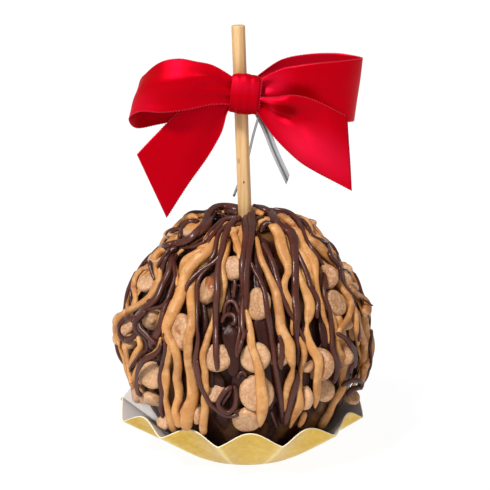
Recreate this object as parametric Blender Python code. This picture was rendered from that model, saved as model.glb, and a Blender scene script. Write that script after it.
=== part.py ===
"""Caramel apple on a stick, in a gold foil cup, tied with a red satin bow.

The apple is one solid: a coated core, peanut butter chips pressed into the coat, peanut butter
drizzle over them and chocolate drizzle on top. The stick, the foil cup, the five ribbon pieces of
the bow and the twist tie that holds the bow are solids of their own.

Directions on the apple are (azimuth, latitude) in degrees about the core's centre. Azimuth 0 faces
the front, -Y, and grows towards +X. All sizes below are in millimetres; the scene is in metres.
"""

import math
import random

import bmesh
import bpy
import numpy as np

MM = 0.001
GAP = 0.3

# Driving dimensions
CORE_CENTRE_Z = 42.0
CORE_RADIUS = 41.0
CORE_TOP = 42.6
CORE_BOTTOM = 43.5
CORE_POWER_ABOVE = 1.9
CORE_POWER_BELOW = 2.3
FOOT_Z = 0.9
CORE_STEPS = 24
CORE_LATITUDES = (80, 66, 52, 38, 24, 10, -4, -18, -32, -46, -60, -74)

CHIP_RADIUS = 5.2
CHIP_SIDES = 6
CHIP_SINK = 1.3
CHIP_SECTION = ((0.84, -0.46), (1.0, -0.24), (0.66, 0.42))
CHIP_COVER_HEIGHT = 0.9
CHIP_COVER_SHARE = 0.95

STRAND_FLATNESS = 0.78
STRAND_SINK = 0.35
STRAND_ROOT = 1.6
STRAND_STEP = 9.5
STRAND_END = 0.6
SPLINE_STEPS = 12
SETTLING_ROUNDS = 12
STACK_LIMIT = 5.4
SAG_PER_STEP = 0.55

STICK_RADIUS = 2.4
STICK_BOTTOM_Z = 13.6
STICK_LENGTH = 139.7
STICK_LEAN = math.radians(2.0)
STICK_X_AT_CROWN = -0.3
CROWN_Z = 84.0
STICK_BEVEL = 0.4
HOLE_RADIUS = STICK_RADIUS + 0.35
HOLE_REACH = 90.0
HOLE_BEVEL = 0.05
STICK_SIDES = 16

CUP_FLUTES = 12
CUP_TURN = math.radians(2.0)
CUP_BASE_RADIUS = 21.0
CUP_RIM_RADIUS = 41.9
CUP_RIM_WAVE = 1.1
CUP_RIM_Z = 16.0
CUP_RIM_Z_WAVE = 2.2
CUP_SPREAD = 4.2
CUP_SPREAD_AT = math.radians(-100.0)
CUP_WALL = 0.5
CUP_WALL_CURVE = 1.08
CUP_WALL_INWARDS = 0.35
CUP_STEPS_PER_FLUTE = 6
CUP_RINGS = 3

RIBBON_WALL = 0.6
KNOT_CENTRE = (-0.5, -7.1, 130.4)
KNOT_HALF = (4.7, 3.2, 6.9)
KNOT_TILT = math.radians(6.0)
KNOT_SIDES = 16
KNOT_BULGE = ((-1.0, 0.93), (-0.5, 1.0), (0.5, 1.0), (1.0, 0.93))

TIE_WIDTH = 2.8
TIE_WALL = 0.6
TIE_RING_RADIUS = 3.05
TIE_RING_Z = 128.0

# Peanut butter drizzle over the front: width, then the turning points of each strand.
PEANUT_FRONT = (
    (4.4, ((-42, 73), (-30, 60), (-36, 40), (-38, 20), (-32, 4), (-31, -10), (-35, -24), (-36, -40))),
    (4.4, ((-30, 71), (-22, 60), (-30, 36), (-25, 20), (-26, 6), (-24, -10), (-30, -24), (-32, -36))),
    (3.8, ((-20, 72), (-14, 56), (-12, 34), (-17, 16), (-18, -6), (-20, -22), (-23, -40))),
    (3.6, ((-38, 9), (-37, -4), (-40, -22), (-43, -40))),
    (3.4, ((-12, 68), (-4, 55), (-4, 38))),
    (3.8, ((-61, 58), (-72, 43), (-54, 37), (-52, 28), (-66, 18), (-85, 6), (-84, -6))),
    (3.6, ((-68, 48), (-81, 32), (-66, 23), (-68, 10))),
    (3.6, ((-53, 8), (-60, -2), (-68, -9), (-66, -18), (-78, -25))),
    (4.0, ((1, 37), (2, 18), (5, 2), (7, -12), (7, -30))),
    (3.8, ((11, 72), (9, 58), (15, 32), (20, 8), (19, -12), (17, -34))),
    (4.4, ((33, 77), (36, 66), (26, 52), (20, 34), (25, 12), (24, -10), (21, -38))),
    (4.0, ((60, 74), (56, 62), (43, 50), (39, 30), (41, 10))),
    (3.4, ((34, 46), (30, 32), (31, 8), (34, -14), (33, -34))),
    (3.8, ((106, 72), (66, 60), (68, 48), (60, 40), (54, 32), (59, 23), (45, 9), (47, -6), (40, -36))),
    (3.8, ((75, 46), (75, 34), (69, 26), (88, 14), (70, 10), (85, -5), (71, -12), (74, -28))),
)

# Chocolate drizzle over the front, in the same form.
CHOCOLATE_FRONT = (
    (3.2, ((150, 84), (-105, 83), (-64, 74), (-48, 64), (-44, 54))),
    (3.2, ((-167, 79), (-140, 71), (-118, 62), (-114, 48), (-104, 30))),
    (3.4, ((-80, 76), (-56, 65), (-60, 54), (-80, 45), (-62, 36), (-52, 28))),
    (3.0, ((-43, 80), (-33, 61), (-50, 48), (-48, 34), (-52, 22), (-66, 10))),
    (3.0, ((-37, 82), (-24, 56), (-31, 40), (-34, 30))),
    (2.8, ((-7, 83), (-20, 66), (-20, 46), (-25, 33), (-22, 12), (-18, -10), (-10, -20))),
    (3.8, ((15, 86), (3, 64), (-1, 46), (-1, 18))),
    (3.2, ((79, 79), (48, 69), (31, 47), (24, 26), (23, 0), (19, -27))),
    (3.0, ((5, 48), (10, 32), (12, 10), (15, -12), (19, -27))),
    (2.8, ((127, 72), (88, 66), (63, 56), (70, 48), (62, 36), (60, 18))),
    (2.6, ((48, 51), (43, 32), (42, 8), (43, -12))),
)

# The rest of both drizzles runs down the sides and back by rule:
# azimuth of the first strand, spacing, strands, width, and how far the strands wander.
PEANUT_BACK = (97.0, 10.2, 17, 4.0, 4.0)
CHOCOLATE_BACK = (102.0, 21.0, 8, 3.0, 9.0)
BACK_TOPS = (80.0, 66.0, 72.0)
BACK_LATITUDES = (50.0, 32.0, 14.0, -4.0, -22.0)
BACK_FOOT = (-32.0, -26.0)
BACK_TOP_WANDER = 6.0
BACK_LATITUDE_WANDER = 4.0
BACK_WIDTHS = (0.88, 1.12)

# Chips that show at the front: azimuth, latitude, scale, tilt of the flat face from outward, spin.
CHIPS_FRONT = (
    (-66, 32, 0.85, 25, 0), (-50, 17, 1.0, 170, 20), (-78, 5, 0.9, 20, 0), (-32, 15, 1.1, 25, 60),
    (-48, -8, 1.15, 8, 0), (-54, -22, 1.0, 60, 180), (-21, 35, 1.05, 60, 90), (-8, 46, 0.95, 30, 0),
    (5, 30, 1.05, 75, 80), (-13, 5, 1.0, 10, 0), (4, 7, 1.05, 15, 120), (-11, -12, 0.95, 40, 200),
    (5, -11, 1.2, 6, 0), (2, -25, 1.1, 30, 180), (14, 12, 0.9, 70, 90), (53, 37, 1.0, 45, 60),
    (51, 25, 1.0, 30, 300), (36, 0, 1.1, 70, 90), (41, -14, 1.0, 20, 0), (28, -15, 0.95, 50, 90),
    (52, 2, 1.05, 30, 40), (87, 16, 1.15, 160, 0), (63, -23, 1.0, 40, 180), (70, 35, 0.95, 30, 0),
    (-72, 61, 1.0, 30, 0), (-92, 52, 1.05, 30, 90), (-88, -6, 1.0, 40, 0), (32, 27, 1.0, 35, 0),
    (-62, 1, 0.9, 50, 90), (-25, -21, 0.95, 60, 0), (78, -3, 1.0, 30, 90), (-70, -22, 0.95, 30, 0),
    (22, 50, 0.95, 40, 0), (-48, 42, 0.95, 30, 0), (84, -22, 1.0, 30, 90), (-86, -25, 1.0, 30, 90),
)
# Rows of chips down the back: latitude and count, then how much the chips in them differ.
CHIP_ROWS_BACK = ((58, 3), (38, 6), (18, 7), (-2, 7), (-19, 6))
BACK_HALF = (102.0, 262.0)
CHIP_WANDER = (5.0, 4.0)
CHIP_SCALES = (0.9, 1.12)
CHIP_TILTS = (5.0, 70.0)
ROW_START, ROW_OFFSET = 0.25, 0.5

APPLE_TRIANGLES = 9600
DRAW_SEED = 7

# The bow's ribbons: pairs of points on the upper and the lower edge, from the knot outwards.
LOOP_LEFT = (
    ((-5.3, -6.2, 137.4), (-6.2, -7.6, 127.2)),
    ((-11.3, -6.6, 139.9), (-11.2, -10.0, 127.4)),
    ((-17.2, -6.4, 141.6), (-17.2, -11.5, 126.6)),
    ((-23.1, -5.4, 142.4), (-23.0, -12.2, 125.6)),
    ((-29.3, -4.0, 140.9), (-29.5, -11.5, 125.0)),
    ((-34.6, -1.6, 136.4), (-36.6, -8.0, 124.6)),
    ((-37.4, 2.0, 131.2), (-40.8, -1.2, 120.8)),
    ((-36.0, 6.4, 134.6), (-38.6, 4.2, 116.4)),
    ((-30.0, 7.6, 137.4), (-31.0, 6.6, 117.2)),
    ((-20.0, 6.0, 138.4), (-20.0, 5.2, 119.8)),
    ((-11.0, 1.8, 137.0), (-11.0, 1.2, 122.6)),
    ((-5.6, -2.9, 135.4), (-6.4, -2.9, 125.2)),
)
LOOP_RIGHT = (
    ((5.4, -5.4, 135.8), (4.6, -5.4, 127.2)),
    ((12.0, -7.8, 139.2), (12.0, -7.4, 124.4)),
    ((18.1, -9.2, 140.6), (18.6, -8.8, 122.4)),
    ((24.5, -9.4, 141.5), (24.5, -9.2, 121.4)),
    ((31.0, -8.2, 141.9), (31.0, -8.2, 120.8)),
    ((36.8, -5.6, 142.1), (35.8, -5.6, 120.4)),
    ((40.3, -1.4, 142.0), (37.7, -1.6, 120.3)),
    ((37.4, 3.0, 142.3), (36.6, 2.6, 120.8)),
    ((31.0, 5.2, 142.8), (30.5, 5.4, 121.1)),
    ((21.6, 5.4, 142.4), (21.6, 5.6, 121.6)),
    ((12.5, 2.8, 140.0), (12.5, 2.6, 123.6)),
    ((5.6, -2.6, 136.6), (4.6, -2.8, 126.8)),
)
TAIL_LEFT = (
    ((-5.9, -4.6, 131.0), (-6.5, -4.9, 123.4)),
    ((-14.2, -4.0, 129.4), (-9.4, -4.9, 116.4)),
    ((-24.0, -3.4, 122.8), (-14.2, -4.6, 108.0)),
    ((-32.0, -3.8, 115.0), (-20.6, -4.4, 97.4)),
    ((-38.1, -4.2, 108.6), (-27.9, -4.4, 85.9)),
)
TAIL_RIGHT = (
    ((4.8, -8.2, 129.4), (4.4, -7.6, 122.0)),
    ((10.1, -10.2, 130.2), (9.6, -7.4, 115.8)),
    ((16.5, -12.2, 131.0), (15.6, -7.4, 109.8)),
    ((24.8, -12.9, 128.6), (22.6, -8.0, 104.8)),
    ((35.0, -10.2, 123.0), (36.6, -8.0, 97.0)),
)
RIBBON_STEPS = 3
RIBBON_ACROSS = 3

# The twist tie: the twist behind the knot, then its two loose ends, with the way each one's
# width runs.
TIE_TWIST = ((1.4, 2.4, 128.0), (3.4, 2.2, 125.4), (4.6, 1.0, 121.4))
TIE_TWIST_ACROSS = (0.8, 0.5, 0.4)
TIE_END_FRONT = ((4.6, 0.8, 121.6), (7.0, -1.8, 117.0), (10.3, -3.0, 108.8), (14.7, -3.4, 99.4))
TIE_END_BACK = ((4.6, 1.2, 121.6), (2.5, 4.0, 113.6), (0.2, 6.4, 103.6), (-4.4, 9.6, 90.6))
TIE_FRONT_ACROSS = (1.0, -0.5, 0.3)
TIE_BACK_ACROSS = (0.2, 1.0, 0.3)
TIE_STEPS = 3
TIE_RING_SIDES = 16


def clear_scene():
    for obj in list(bpy.data.objects):
        bpy.data.objects.remove(obj, do_unlink=True)


def material(name, colour, roughness, metallic=0.0):
    made = bpy.data.materials.new(name)
    made.use_nodes = True
    shader = made.node_tree.nodes["Principled BSDF"]
    shader.inputs["Base Color"].default_value = (*colour, 1.0)
    shader.inputs["Roughness"].default_value = roughness
    shader.inputs["Metallic"].default_value = metallic
    return made


def add_object(name, points, faces, made_of, sharp_angle=40.0, collection=None):
    """A closed mesh from points in millimetres, with its faces turned outwards."""
    mesh = bpy.data.meshes.new(name)
    shape = bmesh.new()
    verts = [shape.verts.new([c * MM for c in point]) for point in points]
    for face in faces:
        shape.faces.new([verts[i] for i in face])
    bmesh.ops.recalc_face_normals(shape, faces=shape.faces)
    shape.to_mesh(mesh)
    shape.free()
    mesh.shade_smooth()
    mesh.set_sharp_from_angle(angle=math.radians(sharp_angle))
    mesh.materials.append(made_of)
    obj = bpy.data.objects.new(name, mesh)
    (collection or bpy.context.scene.collection).objects.link(obj)
    return obj


def tube_faces(rings, sides):
    """Side faces between rings of points, and a cap on each end."""
    faces = []
    for ring in range(rings - 1):
        for side in range(sides):
            a = ring * sides + side
            b = ring * sides + (side + 1) % sides
            faces.append((a, b, b + sides, a + sides))
    faces.append(tuple(range(sides - 1, -1, -1)))
    faces.append(tuple(range((rings - 1) * sides, rings * sides)))
    return faces


def spline(points, steps):
    """Points along a Catmull-Rom curve through the given ones, with steps to each span."""
    points = np.array(points, float)
    padded = np.vstack([2 * points[0] - points[1], points, 2 * points[-1] - points[-2]])
    made = []
    for i in range(1, len(padded) - 2):
        before, start, end, after = padded[i - 1 : i + 3]
        for k in range(steps):
            t = k / steps
            made.append(
                0.5
                * (
                    2 * start
                    + (end - before) * t
                    + (2 * before - 5 * start + 4 * end - after) * t**2
                    + (3 * start - before - 3 * end + after) * t**3
                )
            )
    made.append(points[-1])
    return np.array(made)


# ---------------------------------------------------------------- the apple


def direction(azimuth, latitude):
    a, b = math.radians(azimuth), math.radians(latitude)
    return np.array([math.cos(b) * math.sin(a), -math.cos(b) * math.cos(a), math.sin(b)])


def core_distance(unit):
    """How far the core's surface lies from its centre along a unit direction."""
    above = unit[2] > 0
    power = CORE_POWER_ABOVE if above else CORE_POWER_BELOW
    across = math.hypot(unit[0], unit[1]) / CORE_RADIUS
    up = abs(unit[2]) / (CORE_TOP if above else CORE_BOTTOM)
    return (across**power + up**power) ** (-1 / power)


def on_core(unit, lift=0.0):
    point = unit * (core_distance(unit) + lift) + np.array([0.0, 0.0, CORE_CENTRE_Z])
    point[2] = max(point[2], FOOT_Z)
    return point


def frame_on(unit, along):
    """Side and outward unit vectors for something that runs along a tangent."""
    side = np.cross(along, unit)
    side /= np.linalg.norm(side)
    return side, np.cross(side, along) / np.linalg.norm(along)


class Cover:
    """What already lies on the core, for laying the next piece on top of it."""

    def __init__(self):
        self.units = np.empty((0, 3))
        self.heights = np.empty(0)
        self.radii = np.empty(0)

    def add(self, units, heights, radius):
        self.units = np.vstack([self.units, units])
        self.heights = np.append(self.heights, heights)
        self.radii = np.append(self.radii, np.full(len(units), radius))

    def support(self, unit):
        """Height of the cover's surface over the core in one direction."""
        if not len(self.units):
            return 0.0
        away = np.linalg.norm(self.units - unit, axis=1) * CORE_RADIUS
        inside = away < self.radii
        if not inside.any():
            return 0.0
        rise = np.sqrt(self.radii[inside] ** 2 - away[inside] ** 2) * STRAND_FLATNESS
        return float((self.heights[inside] + rise).max())


def strand_route(turns):
    """Even steps of unit directions along a strand's turning points."""
    fine = spline([direction(*turn) for turn in turns], SPLINE_STEPS)
    fine /= np.linalg.norm(fine, axis=1)[:, None]
    run = np.append(0, np.cumsum(np.linalg.norm(np.diff(fine, axis=0), axis=1))) * CORE_RADIUS
    count = max(3, round(run[-1] / STRAND_STEP) + 1)
    at = np.linspace(0, run[-1], count)
    route = np.column_stack([np.interp(at, run, fine[:, axis]) for axis in range(3)])
    return route / np.linalg.norm(route, axis=1)[:, None]


def settled_heights(route, radius, cover):
    """The strand rests on what is under it and sags only a little between its supports."""
    low = np.array([min(cover.support(unit), STACK_LIMIT) for unit in route]) + STRAND_SINK * radius
    heights = low.copy()
    for _ in range(SETTLING_ROUNDS):
        inner = (heights[:-2] + heights[2:]) / 2 - SAG_PER_STEP
        heights[1:-1] = np.maximum(low[1:-1], inner)
    return heights


def lay_strand(name, width, turns, cover, made_of, collection):
    """A ridge with a rounded back and a root sunk in the core, tapered at its lower end."""
    radius = width / 2
    route = strand_route(turns)
    heights = settled_heights(route, radius, cover)
    cover.add(route, heights, radius)
    section = (
        (-0.5, None),
        (0.5, None),
        (1.0, 0.0),
        (0.0, STRAND_FLATNESS),
        (-1.0, 0.0),
    )
    points = []
    last = len(route) - 1
    for i, (unit, height) in enumerate(zip(route, heights)):
        along = route[min(i + 1, last)] - route[max(i - 1, 0)]
        side, out = frame_on(unit, along)
        size = radius * (STRAND_END if i in (0, last) else 1.0)
        for across, up in section:
            lift = -STRAND_ROOT if up is None else height + size * up
            points.append(on_core(unit, lift) + side * size * across)
    faces = tube_faces(len(route), len(section))
    return add_object(name, points, faces, made_of, collection=collection)


def lay_chip(name, spot, cover, made_of, collection):
    """A low drop with a flat face and a domed back, pressed into the coat."""
    azimuth, latitude, scale, tilt, spin = spot
    unit = direction(azimuth, latitude)
    side, _ = frame_on(unit, np.array([0.0, 0.0, 1.0]))
    up = np.cross(unit, side)
    lean = math.radians(spin)
    hinge = side * math.cos(lean) + up * math.sin(lean)
    angle = math.radians(tilt)
    axis = -unit * math.cos(angle) + np.cross(hinge, unit) * math.sin(angle)
    first = hinge
    second = np.cross(axis, first)
    size = CHIP_RADIUS * scale
    centre = on_core(unit, CHIP_SINK)
    points = []
    for radius, height in CHIP_SECTION:
        for k in range(CHIP_SIDES):
            turn = 2 * math.pi * k / CHIP_SIDES
            rim = first * math.cos(turn) + second * math.sin(turn)
            points.append(centre + size * (rim * radius + axis * height))
    cover.add([unit], [CHIP_COVER_HEIGHT], size * CHIP_COVER_SHARE)
    faces = tube_faces(len(CHIP_SECTION), CHIP_SIDES)
    return add_object(name, points, faces, made_of, collection=collection)


def about(value, spread, draw):
    return value + draw.uniform(-spread, spread)


def back_strands(first, spacing, count, width, wander, draw):
    """Turning points of the strands that run down the sides and back."""
    strands = []
    for i in range(count):
        azimuth = first + spacing * i
        turns = [(about(azimuth, BACK_TOP_WANDER, draw), BACK_TOPS[i % len(BACK_TOPS)])]
        for latitude in BACK_LATITUDES:
            turns.append((about(azimuth, wander, draw), about(latitude, BACK_LATITUDE_WANDER, draw)))
        turns.append((about(azimuth, wander, draw), draw.uniform(*BACK_FOOT)))
        strands.append((width * draw.uniform(*BACK_WIDTHS), turns))
    return strands


def back_chips(draw):
    """Chips in staggered rows down the back, in the same form as those at the front."""
    spots = []
    low, high = BACK_HALF
    for row, (latitude, count) in enumerate(CHIP_ROWS_BACK):
        for k in range(count):
            share = (k + ROW_START + ROW_OFFSET * (row % 2)) / count
            place = (
                about(low + (high - low) * share, CHIP_WANDER[0], draw),
                about(latitude, CHIP_WANDER[1], draw),
            )
            pose = (draw.uniform(*CHIP_SCALES), draw.uniform(*CHIP_TILTS), draw.uniform(0, 360))
            spots.append(place + pose)
    return spots


def core_solid(made_of):
    """The coated apple: round, a little flattened at the top, with a flat foot in the cup."""
    points = []
    for latitude in CORE_LATITUDES:
        for k in range(CORE_STEPS):
            points.append(on_core(direction(360 * k / CORE_STEPS, latitude)))
    faces = tube_faces(len(CORE_LATITUDES), CORE_STEPS)
    return add_object("apple", points, faces, made_of, sharp_angle=60.0)


def apply_boolean(obj, operation, other=None, collection=None):
    modifier = obj.modifiers.new(operation.lower(), "BOOLEAN")
    modifier.operation = operation
    modifier.solver = "MANIFOLD"
    if collection:
        modifier.operand_type = "COLLECTION"
        modifier.collection = collection
    else:
        modifier.object = other
    graph = bpy.context.evaluated_depsgraph_get()
    made = bpy.data.meshes.new_from_object(obj.evaluated_get(graph))
    obj.modifiers.remove(modifier)
    obj.data = made


def keep_outer_shell(obj):
    """Drops sealed hollows and loose scraps, and keeps the one large shell."""
    shape = bmesh.new()
    shape.from_mesh(obj.data)
    left = set(shape.faces)
    shells = []
    while left:
        shell = {left.pop()}
        edge_of = list(shell)
        while edge_of:
            face = edge_of.pop()
            # Four faces at one edge are two shells that touch there.
            for edge in (e for e in face.edges if len(e.link_faces) == 2):
                for near in edge.link_faces:
                    if near in left:
                        left.remove(near)
                        shell.add(near)
                        edge_of.append(near)
        shells.append(shell)
    shells.sort(key=len)
    scraps = [face for shell in shells[:-1] for face in shell]
    bmesh.ops.delete(shape, geom=scraps, context="FACES")
    shape.to_mesh(obj.data)
    shape.free()


def merge_slivers(obj, wanted):
    """Collapses the thinnest triangles that the union leaves, until this many are left."""
    obj.data.calc_loop_triangles()
    collapse = obj.modifiers.new("merge_slivers", "DECIMATE")
    collapse.ratio = min(1.0, wanted / len(obj.data.loop_triangles))
    graph = bpy.context.evaluated_depsgraph_get()
    made = bpy.data.meshes.new_from_object(obj.evaluated_get(graph))
    obj.modifiers.remove(collapse)
    obj.data = made


def stick_axis():
    """The stick's lower end and its unit direction."""
    lean = np.array([-math.sin(STICK_LEAN), 0.0, math.cos(STICK_LEAN)])
    x_at_bottom = STICK_X_AT_CROWN + (CROWN_Z - STICK_BOTTOM_Z) * math.tan(STICK_LEAN)
    return np.array([x_at_bottom, 0.0, STICK_BOTTOM_Z]), lean


def rod(name, radius, start, end, bevel, made_of):
    """A round rod between two points, with its end edges broken by a small bevel."""
    start, end = np.array(start), np.array(end)
    along = (end - start) / np.linalg.norm(end - start)
    side = np.cross(along, [0.0, 1.0, 0.0])
    side /= np.linalg.norm(side)
    front = np.cross(along, side)
    rings = (
        (start, radius - bevel),
        (start + along * bevel, radius),
        (end - along * bevel, radius),
        (end, radius - bevel),
    )
    points = []
    for centre, ring_radius in rings:
        for k in range(STICK_SIDES):
            turn = 2 * math.pi * k / STICK_SIDES
            points.append(centre + ring_radius * (side * math.cos(turn) + front * math.sin(turn)))
    return add_object(name, points, tube_faces(len(rings), STICK_SIDES), made_of)


def build_apple(coat):
    draw = random.Random(DRAW_SEED)
    toppings = bpy.data.collections.new("toppings")
    bpy.context.scene.collection.children.link(toppings)
    cover = Cover()
    for i, spot in enumerate((*CHIPS_FRONT, *back_chips(draw))):
        lay_chip(f"chip_{i}", spot, cover, coat, toppings)
    peanut = (*PEANUT_FRONT, *back_strands(*PEANUT_BACK, draw))
    chocolate = (*CHOCOLATE_FRONT, *back_strands(*CHOCOLATE_BACK, draw))
    for i, (width, turns) in enumerate((*peanut, *chocolate)):
        lay_strand(f"strand_{i}", width, turns, cover, coat, toppings)
    apple = core_solid(coat)
    apply_boolean(apple, "UNION", collection=toppings)
    for obj in list(toppings.objects):
        bpy.data.objects.remove(obj, do_unlink=True)
    bpy.data.collections.remove(toppings)

    bottom, along = stick_axis()
    hole = rod(
        "stick_hole", HOLE_RADIUS, bottom - along * GAP, bottom + along * HOLE_REACH, HOLE_BEVEL, coat
    )
    hole.hide_render = True
    hole.display_type = "WIRE"
    apply_boolean(apple, "DIFFERENCE", other=hole)
    bpy.data.objects.remove(hole, do_unlink=True)
    keep_outer_shell(apple)
    merge_slivers(apple, APPLE_TRIANGLES)


# ------------------------------------------------------- stick, cup, bow and tie


def build_stick(wood):
    bottom, along = stick_axis()
    rod("stick", STICK_RADIUS, bottom, bottom + along * STICK_LENGTH, STICK_BEVEL, wood)


def cup_point(turn, share, inner):
    """A point of the cup's wall: share 0 is at the base's edge and share 1 at the rim."""
    wave = math.cos(CUP_FLUTES * (turn - CUP_TURN)) * share
    radius = CUP_BASE_RADIUS + (CUP_RIM_RADIUS - CUP_BASE_RADIUS) * share - CUP_RIM_WAVE * wave
    radius += CUP_SPREAD * share * max(0.0, math.cos(turn - CUP_SPREAD_AT)) ** 3
    height = CUP_RIM_Z * share**CUP_WALL_CURVE + CUP_RIM_Z_WAVE * wave
    if inner:
        radius -= CUP_WALL_INWARDS * share
        height += CUP_WALL
    return (radius * math.sin(turn), -radius * math.cos(turn), height)


def build_cup(foil):
    """A foil cup: a flat round base and a spreading wall in twelve flutes."""
    steps = CUP_FLUTES * CUP_STEPS_PER_FLUTE
    turns = [2 * math.pi * k / steps for k in range(steps)]
    shares = [ring / CUP_RINGS for ring in range(CUP_RINGS + 1)]
    rows = [(share, False) for share in shares] + [(share, True) for share in reversed(shares)]
    points = [cup_point(turn, share, inner) for share, inner in rows for turn in turns]
    faces = tube_faces(len(rows), steps)
    add_object("cup", points, faces, foil, sharp_angle=50.0)


def ribbon_grid(pairs, steps, across):
    """Rows of points across a ribbon, at even steps between its stations."""
    upper = spline([pair[0] for pair in pairs], steps)
    lower = spline([pair[1] for pair in pairs], steps)
    shares = np.linspace(0, 1, across + 1)
    return np.array([[u + (v - u) * share for share in shares] for u, v in zip(upper, lower)])


def sheet_solid(name, grid, wall, made_of):
    """A closed solid of even wall about a grid of points."""
    rows, columns, _ = grid.shape
    along = np.gradient(grid, axis=0)
    over = np.gradient(grid, axis=1)
    normals = np.cross(along, over)
    normals /= np.linalg.norm(normals, axis=2)[:, :, None]
    points = []
    for offset in (wall / 2, -wall / 2):
        points.extend((grid + normals * offset).reshape(-1, 3))
    back = rows * columns
    faces = []
    for i in range(rows - 1):
        for j in range(columns - 1):
            a = i * columns + j
            faces.append((a, a + 1, a + columns + 1, a + columns))
            faces.append((back + a, back + a + columns, back + a + columns + 1, back + a + 1))
    rim = (
        list(range(columns - 1))
        + [i * columns + columns - 1 for i in range(rows - 1)]
        + [(rows - 1) * columns + j for j in range(columns - 1, 0, -1)]
        + [i * columns for i in range(rows - 1, 0, -1)]
    )
    for here, there in zip(rim, rim[1:] + rim[:1]):
        faces.append((here, there, back + there, back + here))
    return add_object(name, points, faces, made_of)


def build_knot(satin):
    """The ribbon's centre wrap: a flattened roll, a little fuller in the middle of its width."""
    points = []
    for across, fullness in KNOT_BULGE:
        for k in range(KNOT_SIDES):
            turn = 2 * math.pi * k / KNOT_SIDES
            x = KNOT_HALF[0] * across
            y = KNOT_HALF[1] * fullness * math.cos(turn)
            z = KNOT_HALF[2] * fullness * math.sin(turn)
            offset = (
                x * math.cos(KNOT_TILT) + z * math.sin(KNOT_TILT),
                y,
                z * math.cos(KNOT_TILT) - x * math.sin(KNOT_TILT),
            )
            points.append([c + o for c, o in zip(KNOT_CENTRE, offset)])
    add_object("bow_knot", points, tube_faces(len(KNOT_BULGE), KNOT_SIDES), satin)


def build_bow(satin):
    build_knot(satin)
    ribbons = (
        ("bow_loop_left", LOOP_LEFT),
        ("bow_loop_right", LOOP_RIGHT),
        ("bow_tail_left", TAIL_LEFT),
        ("bow_tail_right", TAIL_RIGHT),
    )
    for name, pairs in ribbons:
        sheet_solid(name, ribbon_grid(pairs, RIBBON_STEPS, RIBBON_ACROSS), RIBBON_WALL, satin)


def tie_ring(made_of, collection):
    """The turn of the tie about the stick, under the knot."""
    bottom, along = stick_axis()
    x = bottom[0] + (TIE_RING_Z - bottom[2]) * along[0] / along[2]
    sides = TIE_RING_SIDES
    half = TIE_WIDTH / 2
    inner, outer = TIE_RING_RADIUS - TIE_WALL / 2, TIE_RING_RADIUS + TIE_WALL / 2
    section = ((inner, -half), (outer, -half), (outer, half), (inner, half))
    points = []
    for k in range(sides):
        turn = 2 * math.pi * k / sides
        for radius, height in section:
            points.append(
                (x + radius * math.sin(turn), -radius * math.cos(turn), TIE_RING_Z + height)
            )
    faces = []
    corners = len(section)
    for k in range(sides):
        here, there = corners * k, corners * ((k + 1) % sides)
        for j in range(corners):
            after = (j + 1) % corners
            faces.append((here + j, here + after, there + after, there + j))
    return add_object("tie_ring", points, faces, made_of, collection=collection)


def tie_strip(name, route, across, made_of, collection):
    """A flat strip along a route, with its width along one direction."""
    line = spline(route, TIE_STEPS)
    half = np.array(across) / np.linalg.norm(across) * TIE_WIDTH / 2
    grid = np.array([[point - half, point + half] for point in line])
    made = sheet_solid(name, grid, TIE_WALL, made_of)
    if collection:
        bpy.context.scene.collection.objects.unlink(made)
        collection.objects.link(made)
    return made


def build_tie(silver):
    """A silver twist tie: a turn about the stick, a short twist beside it and two loose ends."""
    ends = bpy.data.collections.new("tie_ends")
    bpy.context.scene.collection.children.link(ends)
    tie_ring(silver, ends)
    tie_strip("tie_end_front", TIE_END_FRONT, TIE_FRONT_ACROSS, silver, ends)
    tie_strip("tie_end_back", TIE_END_BACK, TIE_BACK_ACROSS, silver, ends)
    tie = tie_strip("tie", TIE_TWIST, TIE_TWIST_ACROSS, silver, None)
    apply_boolean(tie, "UNION", collection=ends)
    for obj in list(ends.objects):
        bpy.data.objects.remove(obj, do_unlink=True)
    bpy.data.collections.remove(ends)
    keep_outer_shell(tie)


def main():
    clear_scene()
    build_apple(material("chocolate_and_peanut", (0.22, 0.09, 0.04), 0.35))
    build_stick(material("birch", (0.80, 0.58, 0.33), 0.6))
    build_cup(material("gold_foil", (0.78, 0.55, 0.15), 0.35, 0.9))
    build_bow(material("red_satin", (0.70, 0.01, 0.03), 0.4))
    build_tie(material("silver_tie", (0.45, 0.46, 0.48), 0.3, 0.6))


main()
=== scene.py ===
"""Looks of a chocolate caramel apple: its coat, chips and drizzle, its stick, foil cup and bow.

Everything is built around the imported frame. Sizes are in millimetres until a mesh is made.
Directions on the apple are (azimuth, latitude) in degrees about the core's centre. Azimuth 0 faces
the front, -Y, and grows towards +X.
"""

import math
import random

import bpy
import numpy as np
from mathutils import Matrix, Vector, noise


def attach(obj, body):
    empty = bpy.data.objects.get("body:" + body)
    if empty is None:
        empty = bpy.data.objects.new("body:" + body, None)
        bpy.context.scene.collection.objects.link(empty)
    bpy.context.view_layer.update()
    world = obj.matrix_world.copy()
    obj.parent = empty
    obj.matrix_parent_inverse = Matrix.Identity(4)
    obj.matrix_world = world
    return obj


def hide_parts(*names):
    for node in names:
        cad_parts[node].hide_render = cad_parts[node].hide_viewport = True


MM = 0.001

# ------------------------------------------------------------------ the camera and the photograph

CAMERA_AT = (0.0, -0.6792, 0.24435)
CAMERA_TILT = math.radians(76.0)
CAMERA_LENS = 144.87
CAMERA_SENSOR = 36.0
PHOTO_PIXELS = 490
CAMERA_SHIFT = -1 / PHOTO_PIXELS
PHOTO_MIDDLE = (246.0, 245.0)

# ------------------------------------------------------------------ the part's own dimensions

CORE_CENTRE_Z = 42.0
CORE_RADIUS = 41.0
CORE_TOP = 42.6
CORE_BOTTOM = 43.5
CORE_POWER_ABOVE = 1.9
CORE_POWER_BELOW = 2.3
FOOT_Z = 0.9

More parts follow.
